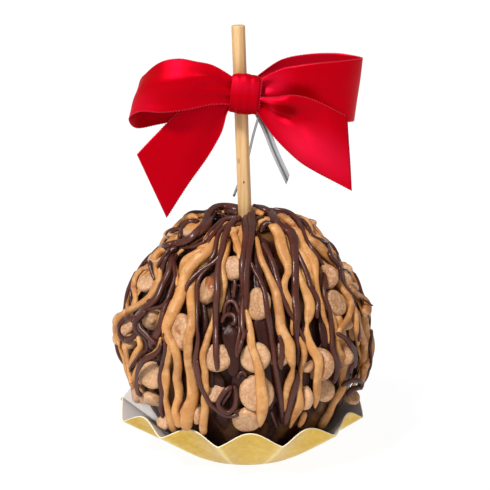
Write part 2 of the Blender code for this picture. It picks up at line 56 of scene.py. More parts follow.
CHIP_RADIUS = 5.2
CHIP_SINK = 1.0
COAT_INSET = 0.5

STICK_RADIUS = 2.4
STICK_BOTTOM_Z = 13.6
STICK_LENGTH = 139.7
STICK_LEAN = math.radians(2.0)
STICK_X_AT_CROWN = -0.3
CROWN_Z = 84.0
HOLE_RADIUS = STICK_RADIUS + 0.35

CUP_FLUTES = 12
CUP_TURN = math.radians(2.0)
CUP_BASE_RADIUS = 21.0
CUP_RIM_RADIUS = 41.9
CUP_RIM_WAVE = 1.1
CUP_RIM_Z = 16.0
CUP_RIM_Z_WAVE = 2.2
CUP_SPREAD = 4.2
CUP_SPREAD_AT = math.radians(-100.0)
CUP_WALL = 0.32
CUP_WALL_CURVE = 1.08
CUP_WALL_INWARDS = 0.28

KNOT_CENTRE = (-0.5, -7.1, 130.4)
KNOT_HALF = (4.7, 3.2, 6.9)
KNOT_TILT = math.radians(6.0)

TIE_WIDTH = 2.8
TIE_RING_RADIUS = 3.05
TIE_RING_Z = 128.0

# ------------------------------------------------------------------ the toppings behind

# Strands down the back: first azimuth, spacing, how many, width, how far each wanders.
PEANUT_BACK = (97.0, 11.9, 15, 3.8, 5.0)
CHOCOLATE_BACK = (102.0, 21.0, 8, 3.0, 9.0)
FLOWS_BACK = (100.0, 14.0, 12, 4.8, 5.0)
THREADS_BACK = (98.0, 20.5, 9, 2.2, 8.0)
BACK_TOPS = (80.0, 66.0, 72.0)
BACK_LATITUDES = (50.0, 32.0, 14.0, -4.0, -22.0)
BACK_FOOT = (-32.0, -26.0)
BACK_TOP_WANDER = 6.0
BACK_LATITUDE_WANDER = 4.0
BACK_WIDTHS = (0.88, 1.12)
BACK_POINTED = 0.4
# Chips down the back: the latitude of each row and how many it has.
CHIP_ROWS_BACK = ((58, 3), (39, 6), (20, 8), (1, 8), (-18, 7))
BACK_HALF = (102.0, 262.0)
CHIP_WANDER = (5.0, 4.0)
CHIP_SCALES = (0.9, 1.12)
CHIP_TILTS = (5.0, 70.0)
ROW_START, ROW_OFFSET = 0.25, 0.5
DRAW_SEED = 7
EXTRA_SEED = 19

# ------------------------------------------------------------------ the toppings in view

# What shows at the front is placed by pixels of the photograph.
# Chips: pixel x, pixel y, scale, tilt of the flat face from outward, spin.
CHIPS_SEEN = (
    (146, 283, 0.70, 20, 0), (172, 235, 0.60, 30, 0), (208, 289, 1.00, 60, 80),
    (234, 266, 0.88, 18, 90), (150, 319, 0.80, 150, 30), (126, 328, 0.65, 30, 0),
    (130, 342, 0.60, 40, 0), (179, 332, 1.20, 32, 90), (151, 376, 0.95, 8, 0), (121, 321, 0.62, 20, 0),
    (121, 338, 0.60, 20, 0),
    (151, 399, 0.90, 60, 180), (216, 359, 0.98, 10, 0), (213, 394, 0.80, 30, 0),
    (186, 413, 0.60, 40, 0), (197, 416, 0.75, 75, 90), (163, 424, 0.50, 30, 0),
    (260, 303, 1.05, 45, 90), (336, 303, 0.95, 30, 300), (329, 276, 0.90, 55, 90),
    (256, 358, 1.03, 15, 120), (257, 395, 1.18, 6, 0), (247, 421, 1.00, 30, 180),
    (281, 356, 0.85, 40, 60), (323, 365, 1.10, 45, 90), (309, 367, 0.50, 30, 0),
    (326, 392, 0.75, 20, 0), (307, 399, 0.85, 65, 90), (346, 354, 0.90, 55, 90),
    (352, 398, 0.62, 60, 0), (348, 324, 0.50, 30, 0), (346, 269, 0.50, 30, 0),
    (346, 280, 0.60, 50, 90), (354, 287, 0.40, 30, 0),
    (188, 232, 0.60, 40, 0), (157, 259, 0.70, 40, 0), (191, 218, 0.55, 40, 0),
    (308, 224, 0.60, 40, 0),
)
GLAZED_CHIPS = ((208, 289), (352, 398), (307, 399), (179, 332))
# Chips beside them, at the edge of the view: azimuth, latitude, scale, tilt, spin.
CHIPS_BESIDE = (
    (-112, 18, 0.75, 40, 0), (-110, -6, 0.8, 40, 0), (110, -2, 0.8, 30, 90), (-74, -24, 0.95, 30, 0),
    (108, -24, 0.9, 30, 90), (-108, -26, 0.9, 30, 90), (112, 20, 0.75, 40, 0),
)

# Drizzle: pixel x, pixel y and the width there in tenths of a millimetre, at each turn.
PEANUT_FRONT = (
    ((206, 248, 20), (196, 254, 26), (186, 261, 30), (183, 269, 26), (181, 278, 20)),
    ((228, 222, 16), (223, 229, 20), (221, 239, 20), (218, 250, 20), (214, 260, 20), (212, 266, 13)),
    ((198, 218, 16), (192, 216, 23), (186, 217, 20), (183, 221, 16)),
    ((196, 226, 20), (188, 231, 36), (184, 236, 33), (180, 241, 16)),
    ((166, 249, 20), (160, 251, 26), (155, 257, 30), (155, 265, 26), (157, 273, 20), (158, 280, 16),
     (156, 288, 16)),
    ((166, 337, 16), (169, 349, 20), (168, 358, 25), (166, 367, 26), (166, 378, 30), (166, 390, 21),
     (166, 399, 20), (168, 408, 23), (170, 417, 26), (173, 427, 26), (176, 435, 23)),
    ((220, 223, 20), (214, 232, 26), (212, 242, 30), (207, 252, 36), (197, 259, 39), (188, 270, 41),
     (184, 283, 41), (179, 298, 41), (173, 311, 41), (169, 320, 38), (166, 329, 30), (169, 339, 28),
     (174, 348, 28), (177, 357, 28), (178, 368, 28), (177, 378, 30), (179, 389, 30), (179, 397, 28),
     (176, 406, 25), (175, 413, 25), (178, 420, 30), (179, 427, 28)),
    ((186, 248, 13), (179, 253, 13), (174, 260, 13), (176, 269, 11), (177, 279, 13), (177, 286, 11)),
    ((207, 268, 16), (199, 276, 21), (193, 282, 25), (191, 291, 26), (191, 302, 28), (192, 314, 28),
     (191, 328, 30), (188, 338, 31), (188, 347, 30), (188, 356, 28), (189, 365, 28), (191, 373, 31),
     (192, 382, 34), (193, 391, 38), (192, 400, 39), (189, 408, 43), (187, 416, 43), (186, 424, 40),
     (187, 430, 34)),
    ((241, 227, 23), (234, 232, 26), (228, 237, 26), (227, 245, 25), (225, 255, 25), (221, 265, 26),
     (222, 274, 28), (224, 283, 25), (223, 292, 21), (222, 302, 16), (220, 313, 7)),
    ((214, 311, 8), (213, 322, 16), (209, 334, 20), (206, 344, 21), (203, 353, 20), (203, 362, 20),
     (205, 371, 21), (205, 380, 23), (206, 390, 20), (204, 398, 20), (205, 407, 25), (204, 416, 26),
     (203, 426, 26), (204, 434, 22)),
    ((243, 225, 24), (243, 235, 38), (242, 246, 36), (242, 256, 28), (243, 266, 18)),
    ((226, 236, 24), (232, 232, 30), (238, 229, 26)),
    ((233, 233, 20), (236, 241, 22), (239, 251, 20), (240, 260, 15)),
    ((137, 332, 16), (139, 340, 20), (141, 346, 23), (137, 353, 28), (133, 361, 26), (130, 368, 16)),
    ((161, 337, 11), (159, 346, 13), (154, 353, 13), (147, 357, 13), (139, 365, 13), (135, 374, 16),
     (133, 383, 16), (134, 391, 18), (137, 398, 15), (142, 402, 11)),
    ((123, 343, 16), (126, 351, 20), (128, 359, 18), (129, 367, 16), (130, 375, 15), (131, 384, 13)),
    ((248, 207, 26), (252, 209, 36), (258, 212, 30), (263, 215, 20)),
    ((256, 231, 13), (258, 225, 16), (263, 220, 18), (269, 219, 16), (272, 222, 13)),
    ((278, 215, 20), (284, 218, 26), (290, 222, 23), (295, 226, 16)),
    ((300, 218, 13), (307, 220, 20), (310, 226, 20), (311, 232, 16), (314, 237, 16), (321, 240, 11)),
    ((299, 221, 13), (304, 230, 20), (309, 239, 26), (318, 245, 33), (325, 253, 33), (332, 260, 26),
     (337, 266, 20)),
    ((329, 243, 13), (332, 250, 15), (336, 257, 13), (338, 265, 11)),
    ((357, 310, 20), (358, 322, 20), (361, 334, 23), (364, 343, 26), (364, 353, 26), (361, 364, 26),
     (360, 373, 23), (361, 381, 15)),
    ((354, 306, 20), (356, 319, 20), (356, 328, 20), (357, 338, 18), (358, 346, 11)),
    ((336, 265, 20), (337, 274, 18), (339, 283, 20), (344, 291, 21), (350, 299, 21), (351, 308, 20),
     (348, 317, 18), (342, 326, 16), (339, 331, 16), (338, 341, 16)),
    ((331, 312, 11), (334, 320, 13), (336, 330, 15), (337, 341, 16), (338, 349, 23), (341, 356, 30),
     (344, 364, 26), (343, 372, 20), (342, 378, 23), (343, 387, 28), (338, 396, 26), (333, 404, 23),
     (329, 413, 28), (324, 421, 33), (320, 429, 33)),
    ((297, 248, 13), (303, 257, 23), (309, 267, 30), (313, 273, 23), (314, 281, 16), (317, 290, 13)),
    ((290, 227, 16), (297, 231, 26), (300, 237, 28), (302, 244, 30), (307, 252, 34), (313, 260, 34),
     (315, 268, 26), (316, 277, 18), (317, 286, 16), (319, 296, 16), (322, 306, 18), (324, 317, 16),
     (328, 327, 13), (329, 336, 11), (329, 344, 10)),
    ((296, 261, 12), (298, 271, 16), (301, 280, 20), (304, 288, 25), (308, 297, 31), (310, 306, 34),
     (309, 315, 31), (308, 320, 23), (307, 325, 11), (307, 333, 21), (309, 341, 25), (313, 350, 30),
     (317, 356, 31), (319, 365, 28), (318, 373, 26), (317, 382, 26), (317, 391, 26), (316, 399, 21),
     (315, 408, 7)),
    ((296, 332, 12), (300, 339, 15), (304, 348, 20), (304, 358, 20), (301, 367, 16), (300, 377, 15),
     (299, 388, 18), (300, 398, 23), (299, 407, 30), (295, 415, 23), (292, 422, 15), (290, 428, 6)),
    ((305, 412, 20), (303, 419, 20), (299, 427, 15)),
    ((268, 226, 20), (274, 228, 33), (279, 236, 36), (281, 245, 38), (284, 255, 38), (288, 265, 33),
     (288, 273, 23), (285, 280, 21), (284, 289, 23), (287, 296, 21), (291, 304, 20), (293, 312, 18),
     (293, 320, 16), (292, 328, 15), (293, 336, 11)),
    ((256, 237, 16), (258, 246, 16), (261, 259, 20), (267, 272, 21), (272, 283, 25), (276, 293, 28),
     (278, 304, 30), (280, 317, 31), (281, 328, 34), (285, 337, 36), (289, 345, 38), (290, 353, 36),
     (292, 362, 26), (293, 369, 13), (291, 377, 23), (288, 386, 26), (286, 396, 25), (285, 406, 21),
     (286, 414, 11)),
    ((243, 306, 16), (247, 316, 20), (250, 327, 21), (251, 338, 25), (252, 347, 25), (255, 355, 25),
     (258, 365, 28), (260, 374, 31), (261, 384, 33), (262, 393, 36), (263, 402, 38), (262, 412, 34),
     (261, 420, 23), (260, 427, 6)),
)
LOBES_SEEN = (
    ((152, 268, 10), (147, 268, 14), (140, 271, 20), (136, 277, 21), (134, 285, 20), (135, 294, 17),
     (136, 302, 16), (133, 309, 14)),
    ((161, 262, 13), (160, 268, 17), (160, 277, 20), (157, 286, 23), (150, 297, 25), (140, 305, 25),
     (128, 311, 23), (120, 317, 23), (115, 325, 21), (116, 334, 20), (118, 341, 16), (120, 347, 8)),
    ((349, 286, 16), (355, 293, 20), (361, 298, 26), (366, 302, 34), (367, 308, 38), (364, 315, 34),
     (362, 322, 34), (365, 330, 42), (368, 339, 46), (369, 347, 46), (368, 354, 44), (366, 362, 36),
     (364, 369, 28), (363, 378, 20), (361, 384, 11)),
)
CHOCOLATE_FRONT = (
    ((177, 247, 16), (169, 252, 18), (165, 260, 20), (163, 267, 20), (161, 276, 20), (158, 286, 18),
     (154, 295, 16), (147, 303, 14)),
    ((206, 216, 18), (201, 224, 20), (195, 231, 22), (188, 237, 22), (181, 241, 20), (172, 244, 18),
     (163, 247, 16), (157, 250, 14)),
    ((174, 283, 10), (172, 292, 11), (168, 301, 13), (164, 309, 16), (162, 319, 20), (160, 328, 26),
     (156, 336, 28), (152, 341, 26), (152, 349, 16)),
    ((198, 222, 16), (192, 221, 16), (186, 223, 16), (182, 228, 15), (180, 235, 15), (179, 242, 13)),
    ((208, 213, 13), (197, 212, 13), (190, 212, 11), (185, 216, 10), (183, 220, 8)),
    ((180, 229, 11), (173, 229, 11), (167, 231, 9), (166, 236, 7)),
    ((170, 248, 13), (165, 255, 13), (160, 262, 11), (157, 268, 7)),
    ((238, 214, 20), (228, 212, 18), (219, 212, 18), (212, 218, 20), (208, 225, 20), (202, 232, 20),
     (194, 238, 20)),
    ((242, 211, 30), (234, 208, 30), (224, 206, 23), (216, 207, 23), (210, 211, 23), (207, 218, 25),
     (204, 225, 26), (197, 232, 26), (190, 239, 26), (182, 243, 26), (173, 244, 25), (164, 246, 21),
     (157, 251, 18), (151, 257, 15), (150, 265, 13), (152, 273, 13), (155, 280, 9)),
    ((180, 243, 20), (173, 253, 21), (171, 263, 23), (168, 274, 23), (162, 286, 25), (157, 298, 25),
     (149, 306, 23), (141, 312, 21), (136, 318, 21), (134, 325, 20)),
    ((229, 218, 16), (222, 223, 16), (216, 231, 15), (211, 237, 13), (208, 243, 11)),
    ((242, 218, 20), (232, 218, 18), (223, 220, 16), (216, 226, 16), (210, 232, 15), (207, 239, 15),
     (201, 244, 15), (193, 247, 14), (185, 248, 13), (178, 253, 12), (174, 260, 11), (174, 268, 11),
     (175, 276, 12), (173, 284, 12), (170, 292, 13), (167, 300, 13), (162, 306, 13), (155, 308, 12),
     (148, 310, 12), (142, 314, 12), (138, 321, 12), (137, 329, 12)),
    ((232, 222, 15), (225, 227, 15), (219, 233, 14), (216, 243, 14), (214, 254, 15), (209, 262, 14)),
    ((241, 218, 20), (234, 221, 21), (228, 230, 23), (224, 237, 18), (222, 247, 15), (219, 257, 15),
     (212, 264, 16), (205, 268, 16), (197, 274, 16), (191, 280, 16), (187, 286, 13), (186, 292, 9)),
    ((211, 266, 11), (205, 271, 12), (200, 277, 14), (197, 285, 14), (197, 295, 13), (197, 304, 12),
     (197, 316, 11), (197, 327, 11), (198, 338, 13), (197, 349, 16), (196, 359, 20), (197, 369, 20),
     (198, 378, 16), (202, 389, 15), (206, 397, 15), (210, 404, 15), (216, 409, 15), (223, 414, 16),
     (232, 416, 16), (239, 414, 12)),
    ((197, 360, 9), (198, 369, 13), (200, 380, 12), (203, 390, 11), (207, 396, 10)),
    ((236, 219, 15), (229, 228, 15), (225, 238, 15), (223, 249, 16), (219, 262, 17), (217, 277, 20),
     (217, 291, 20), (216, 304, 20), (216, 319, 21), (216, 331, 20), (216, 343, 20), (216, 355, 18),
     (217, 365, 16), (217, 371, 12)),
    ((234, 279, 10), (235, 284, 12), (234, 291, 12), (234, 299, 9)),
    ((239, 310, 11), (239, 319, 11), (240, 330, 12), (238, 341, 13), (237, 350, 15), (237, 358, 12)),
    ((247, 329, 15), (243, 338, 13), (240, 347, 13), (238, 354, 11)),
    ((224, 317, 13), (225, 306, 14), (230, 301, 15), (235, 303, 15), (238, 310, 14), (241, 317, 12)),
    ((222, 324, 15), (224, 317, 15), (229, 314, 15), (234, 316, 16), (235, 322, 16), (231, 325, 13)),
    ((231, 388, 11), (229, 394, 11), (224, 401, 11), (222, 406, 11)),
    ((233, 386, 15), (226, 390, 16), (221, 397, 16), (218, 404, 16), (222, 410, 16), (228, 413, 16),
     (234, 408, 16), (236, 401, 16), (236, 392, 15), (234, 385, 12)),
    ((238, 379, 11), (239, 374, 11), (244, 372, 11), (246, 377, 9)),
    ((164, 332, 10), (165, 342, 11), (165, 353, 13), (162, 365, 14), (160, 375, 15), (160, 384, 16),
     (162, 391, 16), (162, 401, 15), (161, 409, 15), (163, 418, 12)),
    ((244, 287, 11), (243, 300, 15), (242, 311, 16), (242, 320, 16), (242, 327, 16), (244, 333, 13),
     (242, 340, 12)),
    ((254, 222, 10), (257, 218, 11), (262, 217, 10), (264, 218, 7)),
    ((254, 232, 11), (258, 233, 11)),
    ((261, 232, 13), (263, 227, 15), (267, 223, 15), (272, 224, 16), (276, 224, 16)),
    ((252, 231, 15), (252, 242, 15), (250, 255, 15), (249, 269, 15), (247, 283, 15), (246, 294, 12)),
    ((246, 216, 18), (245, 224, 22), (246, 234, 22), (245, 244, 20), (243, 254, 20), (242, 264, 20),
     (242, 275, 18), (243, 286, 16), (243, 296, 12)),
    ((251, 213, 26), (251, 221, 30), (251, 230, 27), (250, 239, 26), (248, 249, 26), (247, 259, 25),
     (246, 270, 25), (246, 281, 23), (246, 292, 19), (246, 302, 15), (245, 309, 11)),
    ((317, 248, 8), (323, 255, 10), (329, 259, 7)),
    ((328, 242, 10), (333, 246, 11), (337, 254, 11), (339, 262, 11), (340, 268, 9)),
    ((305, 218, 7), (311, 222, 8), (313, 229, 7)),
    ((294, 245, 12), (299, 256, 15), (304, 267, 16), (308, 278, 16), (311, 289, 17), (315, 294, 17),
     (318, 302, 16), (317, 311, 16), (317, 319, 12)),
    ((298, 218, 13), (305, 222, 15), (309, 230, 16), (313, 237, 16), (320, 240, 16), (326, 243, 16),
     (329, 249, 17), (331, 257, 17), (337, 263, 16), (340, 269, 16), (341, 279, 16), (344, 287, 16),
     (350, 294, 16), (353, 303, 16), (355, 311, 15), (357, 318, 12), (359, 328, 11), (359, 342, 9)),
    ((272, 210, 16), (281, 210, 16), (288, 212, 18), (295, 217, 20), (299, 223, 20), (303, 231, 13),
     (307, 240, 11), (313, 250, 11), (319, 258, 12), (323, 268, 13), (325, 278, 14), (324, 288, 14),
     (325, 298, 14), (329, 308, 14), (331, 319, 14), (331, 328, 14), (332, 339, 15), (332, 347, 16),
     (334, 354, 21), (337, 362, 25), (337, 370, 21), (335, 378, 18), (333, 384, 14)),
    ((262, 243, 15), (269, 255, 16), (274, 267, 16), (277, 279, 16), (281, 290, 16), (284, 301, 16),
     (289, 312, 15), (295, 321, 13), (298, 328, 13), (303, 337, 12), (305, 342, 9)),
    ((251, 262, 10), (254, 270, 13), (259, 279, 15), (264, 291, 16), (266, 302, 17), (268, 315, 18),
     (270, 327, 18), (272, 340, 18), (274, 352, 18), (275, 364, 18), (277, 377, 19), (279, 390, 19),
     (281, 401, 19), (282, 411, 19), (283, 420, 20), (285, 426, 15)),
    ((279, 335, 12), (282, 344, 15), (282, 353, 16), (281, 362, 16), (281, 370, 12)),
    ((259, 207, 20), (265, 210, 26), (271, 214, 30), (276, 222, 31), (282, 228, 31), (289, 231, 33),
     (293, 240, 31), (294, 251, 25), (295, 263, 24), (295, 276, 24), (295, 289, 24), (295, 302, 24),
     (297, 315, 23), (296, 328, 20), (297, 340, 19), (298, 351, 17), (298, 360, 16), (298, 367, 11)),
    ((296, 371, 15), (297, 379, 20), (295, 389, 21), (292, 398, 21), (290, 407, 20), (287, 416, 19),
     (285, 425, 15)),
    ((372, 356, 8), (368, 366, 7), (365, 376, 7), (363, 384, 7)),
    ((271, 411, 11), (274, 420, 12), (278, 430, 11)),
    ((342, 269, 7), (348, 271, 7), (351, 277, 7), (351, 283, 6)),
    ((355, 296, 7), (362, 300, 7), (369, 302, 7), (373, 306, 6)),
)

# Curls of chocolate that stand free of the surface, turned towards the viewer.
CURLS_SEEN = (
    ((162, 343, 15), (159, 351, 16), (152, 356, 17), (146, 359, 18), (140, 365, 19), (136, 373, 20),
     (135, 381, 20), (136, 390, 20), (142, 396, 15)),
    ((139, 322, 16), (140, 328, 16), (146, 334, 16), (151, 340, 15), (156, 344, 13)),
    ((147, 310, 20), (141, 316, 20), (136, 321, 20), (135, 327, 20), (139, 332, 20), (145, 338, 16),
     (148, 344, 13), (147, 350, 11), (142, 353, 11), (136, 360, 11), (131, 367, 10), (130, 372, 7)),
    ((137, 321, 15), (131, 318, 15), (124, 320, 16), (119, 325, 16), (118, 332, 16), (121, 337, 17),
     (127, 339, 18), (133, 337, 19), (137, 332, 20), (138, 327, 18)),
    ((336, 333, 12), (342, 336, 14), (347, 340, 15), (352, 347, 18), (357, 353, 20), (358, 361, 20),
     (355, 365, 18), (351, 367, 15), (351, 374, 7)),
    ((341, 386, 12), (346, 383, 16), (354, 380, 16), (361, 382, 16), (363, 387, 15), (357, 388, 18),
     (350, 391, 21), (347, 397, 16)),
)

# Broad, low layers of peanut butter under the chips and the drizzle.
PEANUT_UNDER = (
    ((232, 222, 40), (218, 232, 60), (210, 246, 66), (200, 260, 60), (192, 276, 40)),
    ((214, 214, 40), (198, 224, 56), (184, 238, 60), (172, 252, 56), (164, 268, 48), (158, 284, 40),
     (152, 298, 40), (146, 312, 30)),
    ((196, 217, 36), (180, 232, 44), (164, 252, 40)),
    ((272, 218, 40), (284, 234, 60), (296, 252, 60), (304, 272, 50), (310, 292, 36)),
    ((286, 214, 40), (304, 228, 56), (320, 246, 60), (334, 268, 54), (344, 292, 50), (352, 316, 44),
     (354, 340, 40)),
    ((332, 300, 40), (338, 326, 44), (344, 352, 40)),
    ((242, 224, 34), (240, 240, 40), (238, 254, 30)),
    ((172, 300, 40), (164, 320, 44), (160, 342, 36)),
    ((297, 370, 26), (295, 384, 48), (294, 398, 54), (292, 410, 40), (290, 420, 20)),
)

# Broad dark flows that lie right on the coat, in the same form.
POOL_SEEN = (
    ((262, 238, 18), (267, 250, 20), (271, 261, 20), (275, 272, 20), (279, 283, 20), (283, 292, 16)),
    ((259, 244, 16), (264, 258, 20), (268, 270, 20), (271, 282, 18), (274, 294, 14)),
    ((254, 236, 16), (256, 248, 20), (258, 262, 24), (259, 276, 24), (259, 290, 20)),
    ((226, 268, 16), (226, 280, 20), (227, 292, 22), (228, 304, 20), (227, 314, 16)),
    ((203, 300, 16), (204, 312, 20), (205, 324, 22), (203, 336, 20), (204, 348, 16)),
    ((206, 350, 16), (208, 362, 22), (210, 376, 24), (211, 390, 20)),
    ((318, 300, 20), (321, 313, 28), (323, 325, 32), (325, 337, 32), (326, 349, 24)),
    ((350, 298, 18), (350, 308, 26), (345, 316, 30), (338, 323, 28), (335, 331, 22)),
    ((229, 324, 39), (230, 331, 54), (231, 341, 49), (233, 350, 39), (234, 360, 33), (233, 369, 36),
     (233, 377, 26)),
)
# More of them by azimuths and latitudes: width, how drawn out the end is, and the turns.
FLOWS_FRONT = (
    (5.0, 0.4, ((-30, 26), (-27, 16), (-28, 4), (-28, -8))),
    (4.6, 0.4, ((-5, 18), (-3, 4), (-4, -10), (-4, -24))),
    (5.2, 0.4, ((10, 60), (9, 44), (9, 30), (8, 18), (10, 6), (10, -8), (12, -24))),
    (4.4, 0.4, ((19, 56), (19, 40), (16, 26), (15, 12), (17, -2), (15, -18))),
    (4.8, 0.4, ((31, 20), (30, 6), (28, -8), (29, -22))),
    (4.8, 0.4, ((52, 12), (38, 4), (38, -12), (38, -26))),
    (5.2, 0.4, ((-44, 34), (-44, 20), (-44, 6), (-44, -6))),
    (4.8, 0.4, ((-60, 28), (-62, 12), (-58, 2), (-60, -14))),
    (4.6, 0.4, ((60, 34), (56, 18), (56, 2), (58, -14), (56, -28))),
    (4.8, 0.4, ((-14, -2), (-13, -12), (-12, -22), (-12, -34))),
    (4.6, 0.4, ((-48, 0), (-49, -16), (-48, -30))),
    (5.0, 0.4, ((76, 30), (78, 14), (76, 0), (74, -18))),
    (5.0, 0.4, ((-80, 26), (-82, 12), (-80, -2), (-78, -20))),
)

# Strands at the edges of the view, in that form too.
PEANUT_BESIDE = (
    (1.7, 0.5, ((80, 12), (82, 4), (80, -8), (84, -24))),
    (1.6, 0.5, ((104, 44), (100, 28), (97, 12), (91, -6), (92, -24))),
    (2.2, 0.6, ((112, 34), (104, 14), (99, -2), (98, -20))),
    (2.2, 0.4, ((116, 30), (110, 12), (107, -4), (105, -26))),
    (1.8, 0.4, ((74, 4), (76, -6), (74, -20))),
    (1.7, 0.5, ((-80, 10), (-82, 2), (-80, -12), (-83, -26))),
    (1.6, 0.5, ((-107, 42), (-103, 24), (-98, 8), (-91, -8), (-92, -26))),
    (2.2, 0.6, ((-112, 34), (-104, 14), (-98, -4), (-98, -22))),
    (2.2, 0.4, ((-116, 28), (-110, 10), (-106, -6), (-104, -28))),
)
LAYERS_BESIDE = (
    (4.4, 0.3, ((80, 34), (82, 20), (79, 6))),
    (4.6, 0.3, ((90, 8), (88, -6), (90, -22))),
    (4.2, 0.3, ((70, 2), (73, -12), (70, -28))),
    (4.4, 0.3, ((-76, 34), (-78, 20), (-76, 6))),
    (4.6, 0.3, ((-90, 26), (-88, 8), (-90, -10))),
    (4.2, 0.3, ((-80, -4), (-78, -18), (-80, -30))),
)
CHOCOLATE_BESIDE = (
    (1.4, 0.6, ((85, 16), (87, 6), (85, -8), (88, -22))),
    (1.4, 0.6, ((108, 44), (104, 26), (101, 8), (95, -8), (96, -22))),
    (1.8, 0.6, ((108, 26), (102, 8), (100, -12), (101, -26))),
    (1.5, 0.7, ((78, 6), (77, -4), (79, -16))),
    (1.4, 0.6, ((-85, 14), (-87, 4), (-85, -8), (-88, -24))),
    (1.4, 0.6, ((-111, 42), (-107, 22), (-102, 6), (-95, -10), (-96, -24))),
    (1.8, 0.6, ((-108, 26), (-102, 8), (-101, -12), (-101, -26))),
)

# The bow's ribbons, from inside the knot outwards: points on the upper and the lower edge.
LOOP_LEFT = (
    ((-1.4, -8.0, 134.4), (-1.4, -8.2, 127.2)),
    ((-5.0, -7.2, 136.8), (-5.2, -8.0, 126.9)),
    ((-11.3, -6.6, 140.3), (-11.2, -8.6, 127.1)),
    ((-17.2, -6.4, 141.6), (-17.2, -8.8, 125.9)),
    ((-23.1, -5.4, 142.4), (-23.0, -8.8, 124.8)),
    ((-29.3, -4.0, 140.9), (-29.5, -8.0, 124.1)),
    ((-34.6, -1.6, 136.4), (-36.6, -5.6, 124.0)),
    ((-37.4, 2.0, 131.2), (-40.8, -1.2, 120.8)),
    ((-36.0, 6.4, 134.6), (-38.6, 4.2, 116.4)),
    ((-30.0, 7.6, 137.4), (-31.0, 6.6, 117.2)),
    ((-20.0, 6.0, 138.4), (-20.0, 5.2, 119.8)),
    ((-11.0, 1.8, 137.0), (-11.0, 1.2, 122.6)),
    ((-5.6, -3.4, 135.0), (-6.2, -3.4, 126.0)),
    ((-1.8, -6.2, 133.8), (-1.8, -6.2, 127.4)),
)
LOOP_RIGHT = (
    ((1.2, -7.4, 133.2), (1.2, -7.4, 127.6)),
    ((4.6, -6.2, 135.2), (4.2, -6.2, 126.9)),
    ((12.0, -7.8, 139.2), (12.0, -7.4, 124.4)),
    ((18.1, -9.2, 140.6), (18.6, -8.8, 122.4)),
    ((24.5, -9.4, 141.5), (24.5, -9.2, 121.4)),
    ((31.0, -8.2, 141.9), (31.0, -8.2, 120.8)),
    ((36.8, -5.6, 142.1), (35.8, -5.6, 120.4)),
    ((40.3, -1.4, 142.0), (37.7, -1.6, 120.3)),
    ((37.4, 3.0, 142.3), (36.6, 2.6, 120.8)),
    ((31.0, 5.2, 142.8), (30.5, 5.4, 121.1)),
    ((21.6, 5.4, 142.4), (21.6, 5.6, 121.6)),
    ((12.5, 2.8, 140.9), (12.5, 2.6, 123.6)),
    ((5.6, -3.2, 137.0), (5.0, -3.4, 126.8)),
    ((1.4, -6.0, 133.6), (1.4, -6.2, 127.6)),
)
TAIL_LEFT = (
    ((-1.4, -6.9, 131.2), (-1.4, -7.1, 126.6)),
    ((-5.6, -5.6, 131.0), (-5.8, -6.0, 124.4)),
    ((-14.2, -4.0, 129.4), (-8.8, -4.9, 116.0)),
    ((-24.0, -3.4, 122.8), (-13.6, -4.6, 107.4)),
    ((-32.0, -3.8, 115.0), (-20.6, -4.4, 97.4)),
    ((-38.1, -4.2, 108.6), (-27.9, -4.4, 85.9)),
)
TAIL_RIGHT = (
    ((1.0, -8.3, 130.2), (1.0, -8.3, 126.4)),
    ((4.6, -8.0, 129.6), (4.4, -7.8, 123.4)),
    ((10.1, -10.2, 130.2), (9.6, -8.0, 115.8)),
    ((16.5, -11.8, 131.0), (15.6, -9.2, 109.8)),
    ((24.8, -11.2, 128.4), (22.6, -12.0, 105.1)),
    ((35.0, -7.6, 122.6), (36.6, -13.2, 97.5)),
)

# Soft folds in the ribbons: share along, share across, the reach of each, and the height.
FOLDS_LEFT = (
    (0.25, 0.44, 0.17, 0.34, 3.2), (0.13, 0.30, 0.05, 0.09, 0.9), (0.14, 0.55, 0.06, 0.09, -0.9),
    (0.30, 0.98, 0.10, 0.16, 0.8),
)
FOLDS_RIGHT = ((0.16, 0.30, 0.06, 0.20, 0.4), (0.24, 0.60, 0.09, 0.25, -1.5), (0.36, 0.3, 0.1, 0.3, 0.8))
FOLDS_TAIL_LEFT = ((0.30, 0.30, 0.14, 0.3, 1.4), (0.40, 0.85, 0.2, 0.25, -1.2))
FOLDS_TAIL_RIGHT = (
    (0.34, 0.12, 0.16, 0.14, 2.4), (0.33, 0.42, 0.14, 0.12, -1.8), (0.66, 0.24, 0.13, 0.18, -1.8),
    (0.70, 0.72, 0.22, 0.28, 2.4),
)
# Painted highlight where the satin is paler (above 0) and painted shade where it is deeper (below 0):
# the same places and reaches.
PAINTED_LIGHT_LEFT = ((0.5, 0.9, 0.10, 0.3, 0.4), (0.22, 0.75, 0.12, 0.22, -0.35), (0.10, 0.6, 0.06, 0.3, -0.3))
PAINTED_LIGHT_RIGHT = ((0.08, 0.32, 0.10, 0.32, 0.7), (0.80, 0.5, 0.17, 0.9, 0.5), (0.34, 0.5, 0.12, 0.5, -0.25))
PAINTED_LIGHT_TAIL_LEFT = ((0.45, 0.95, 0.4, 0.4, -0.45), (0.06, 0.3, 0.08, 0.5, 0.5))
PAINTED_LIGHT_TAIL_RIGHT = (
    (0.76, 0.70, 0.32, 0.30, 0.8), (0.30, 0.05, 0.20, 0.09, 0.55), (0.18, 0.36, 0.09, 0.15, -0.7),
    (0.36, 0.30, 0.05, 0.24, 0.55), (0.55, 0.28, 0.12, 0.16, -1.1),
)
PAINTED_LIGHT_KNOT = ((0.42, 0.5, 0.07, 0.6, 0.4), (0.63, 0.5, 0.09, 0.8, -0.6))

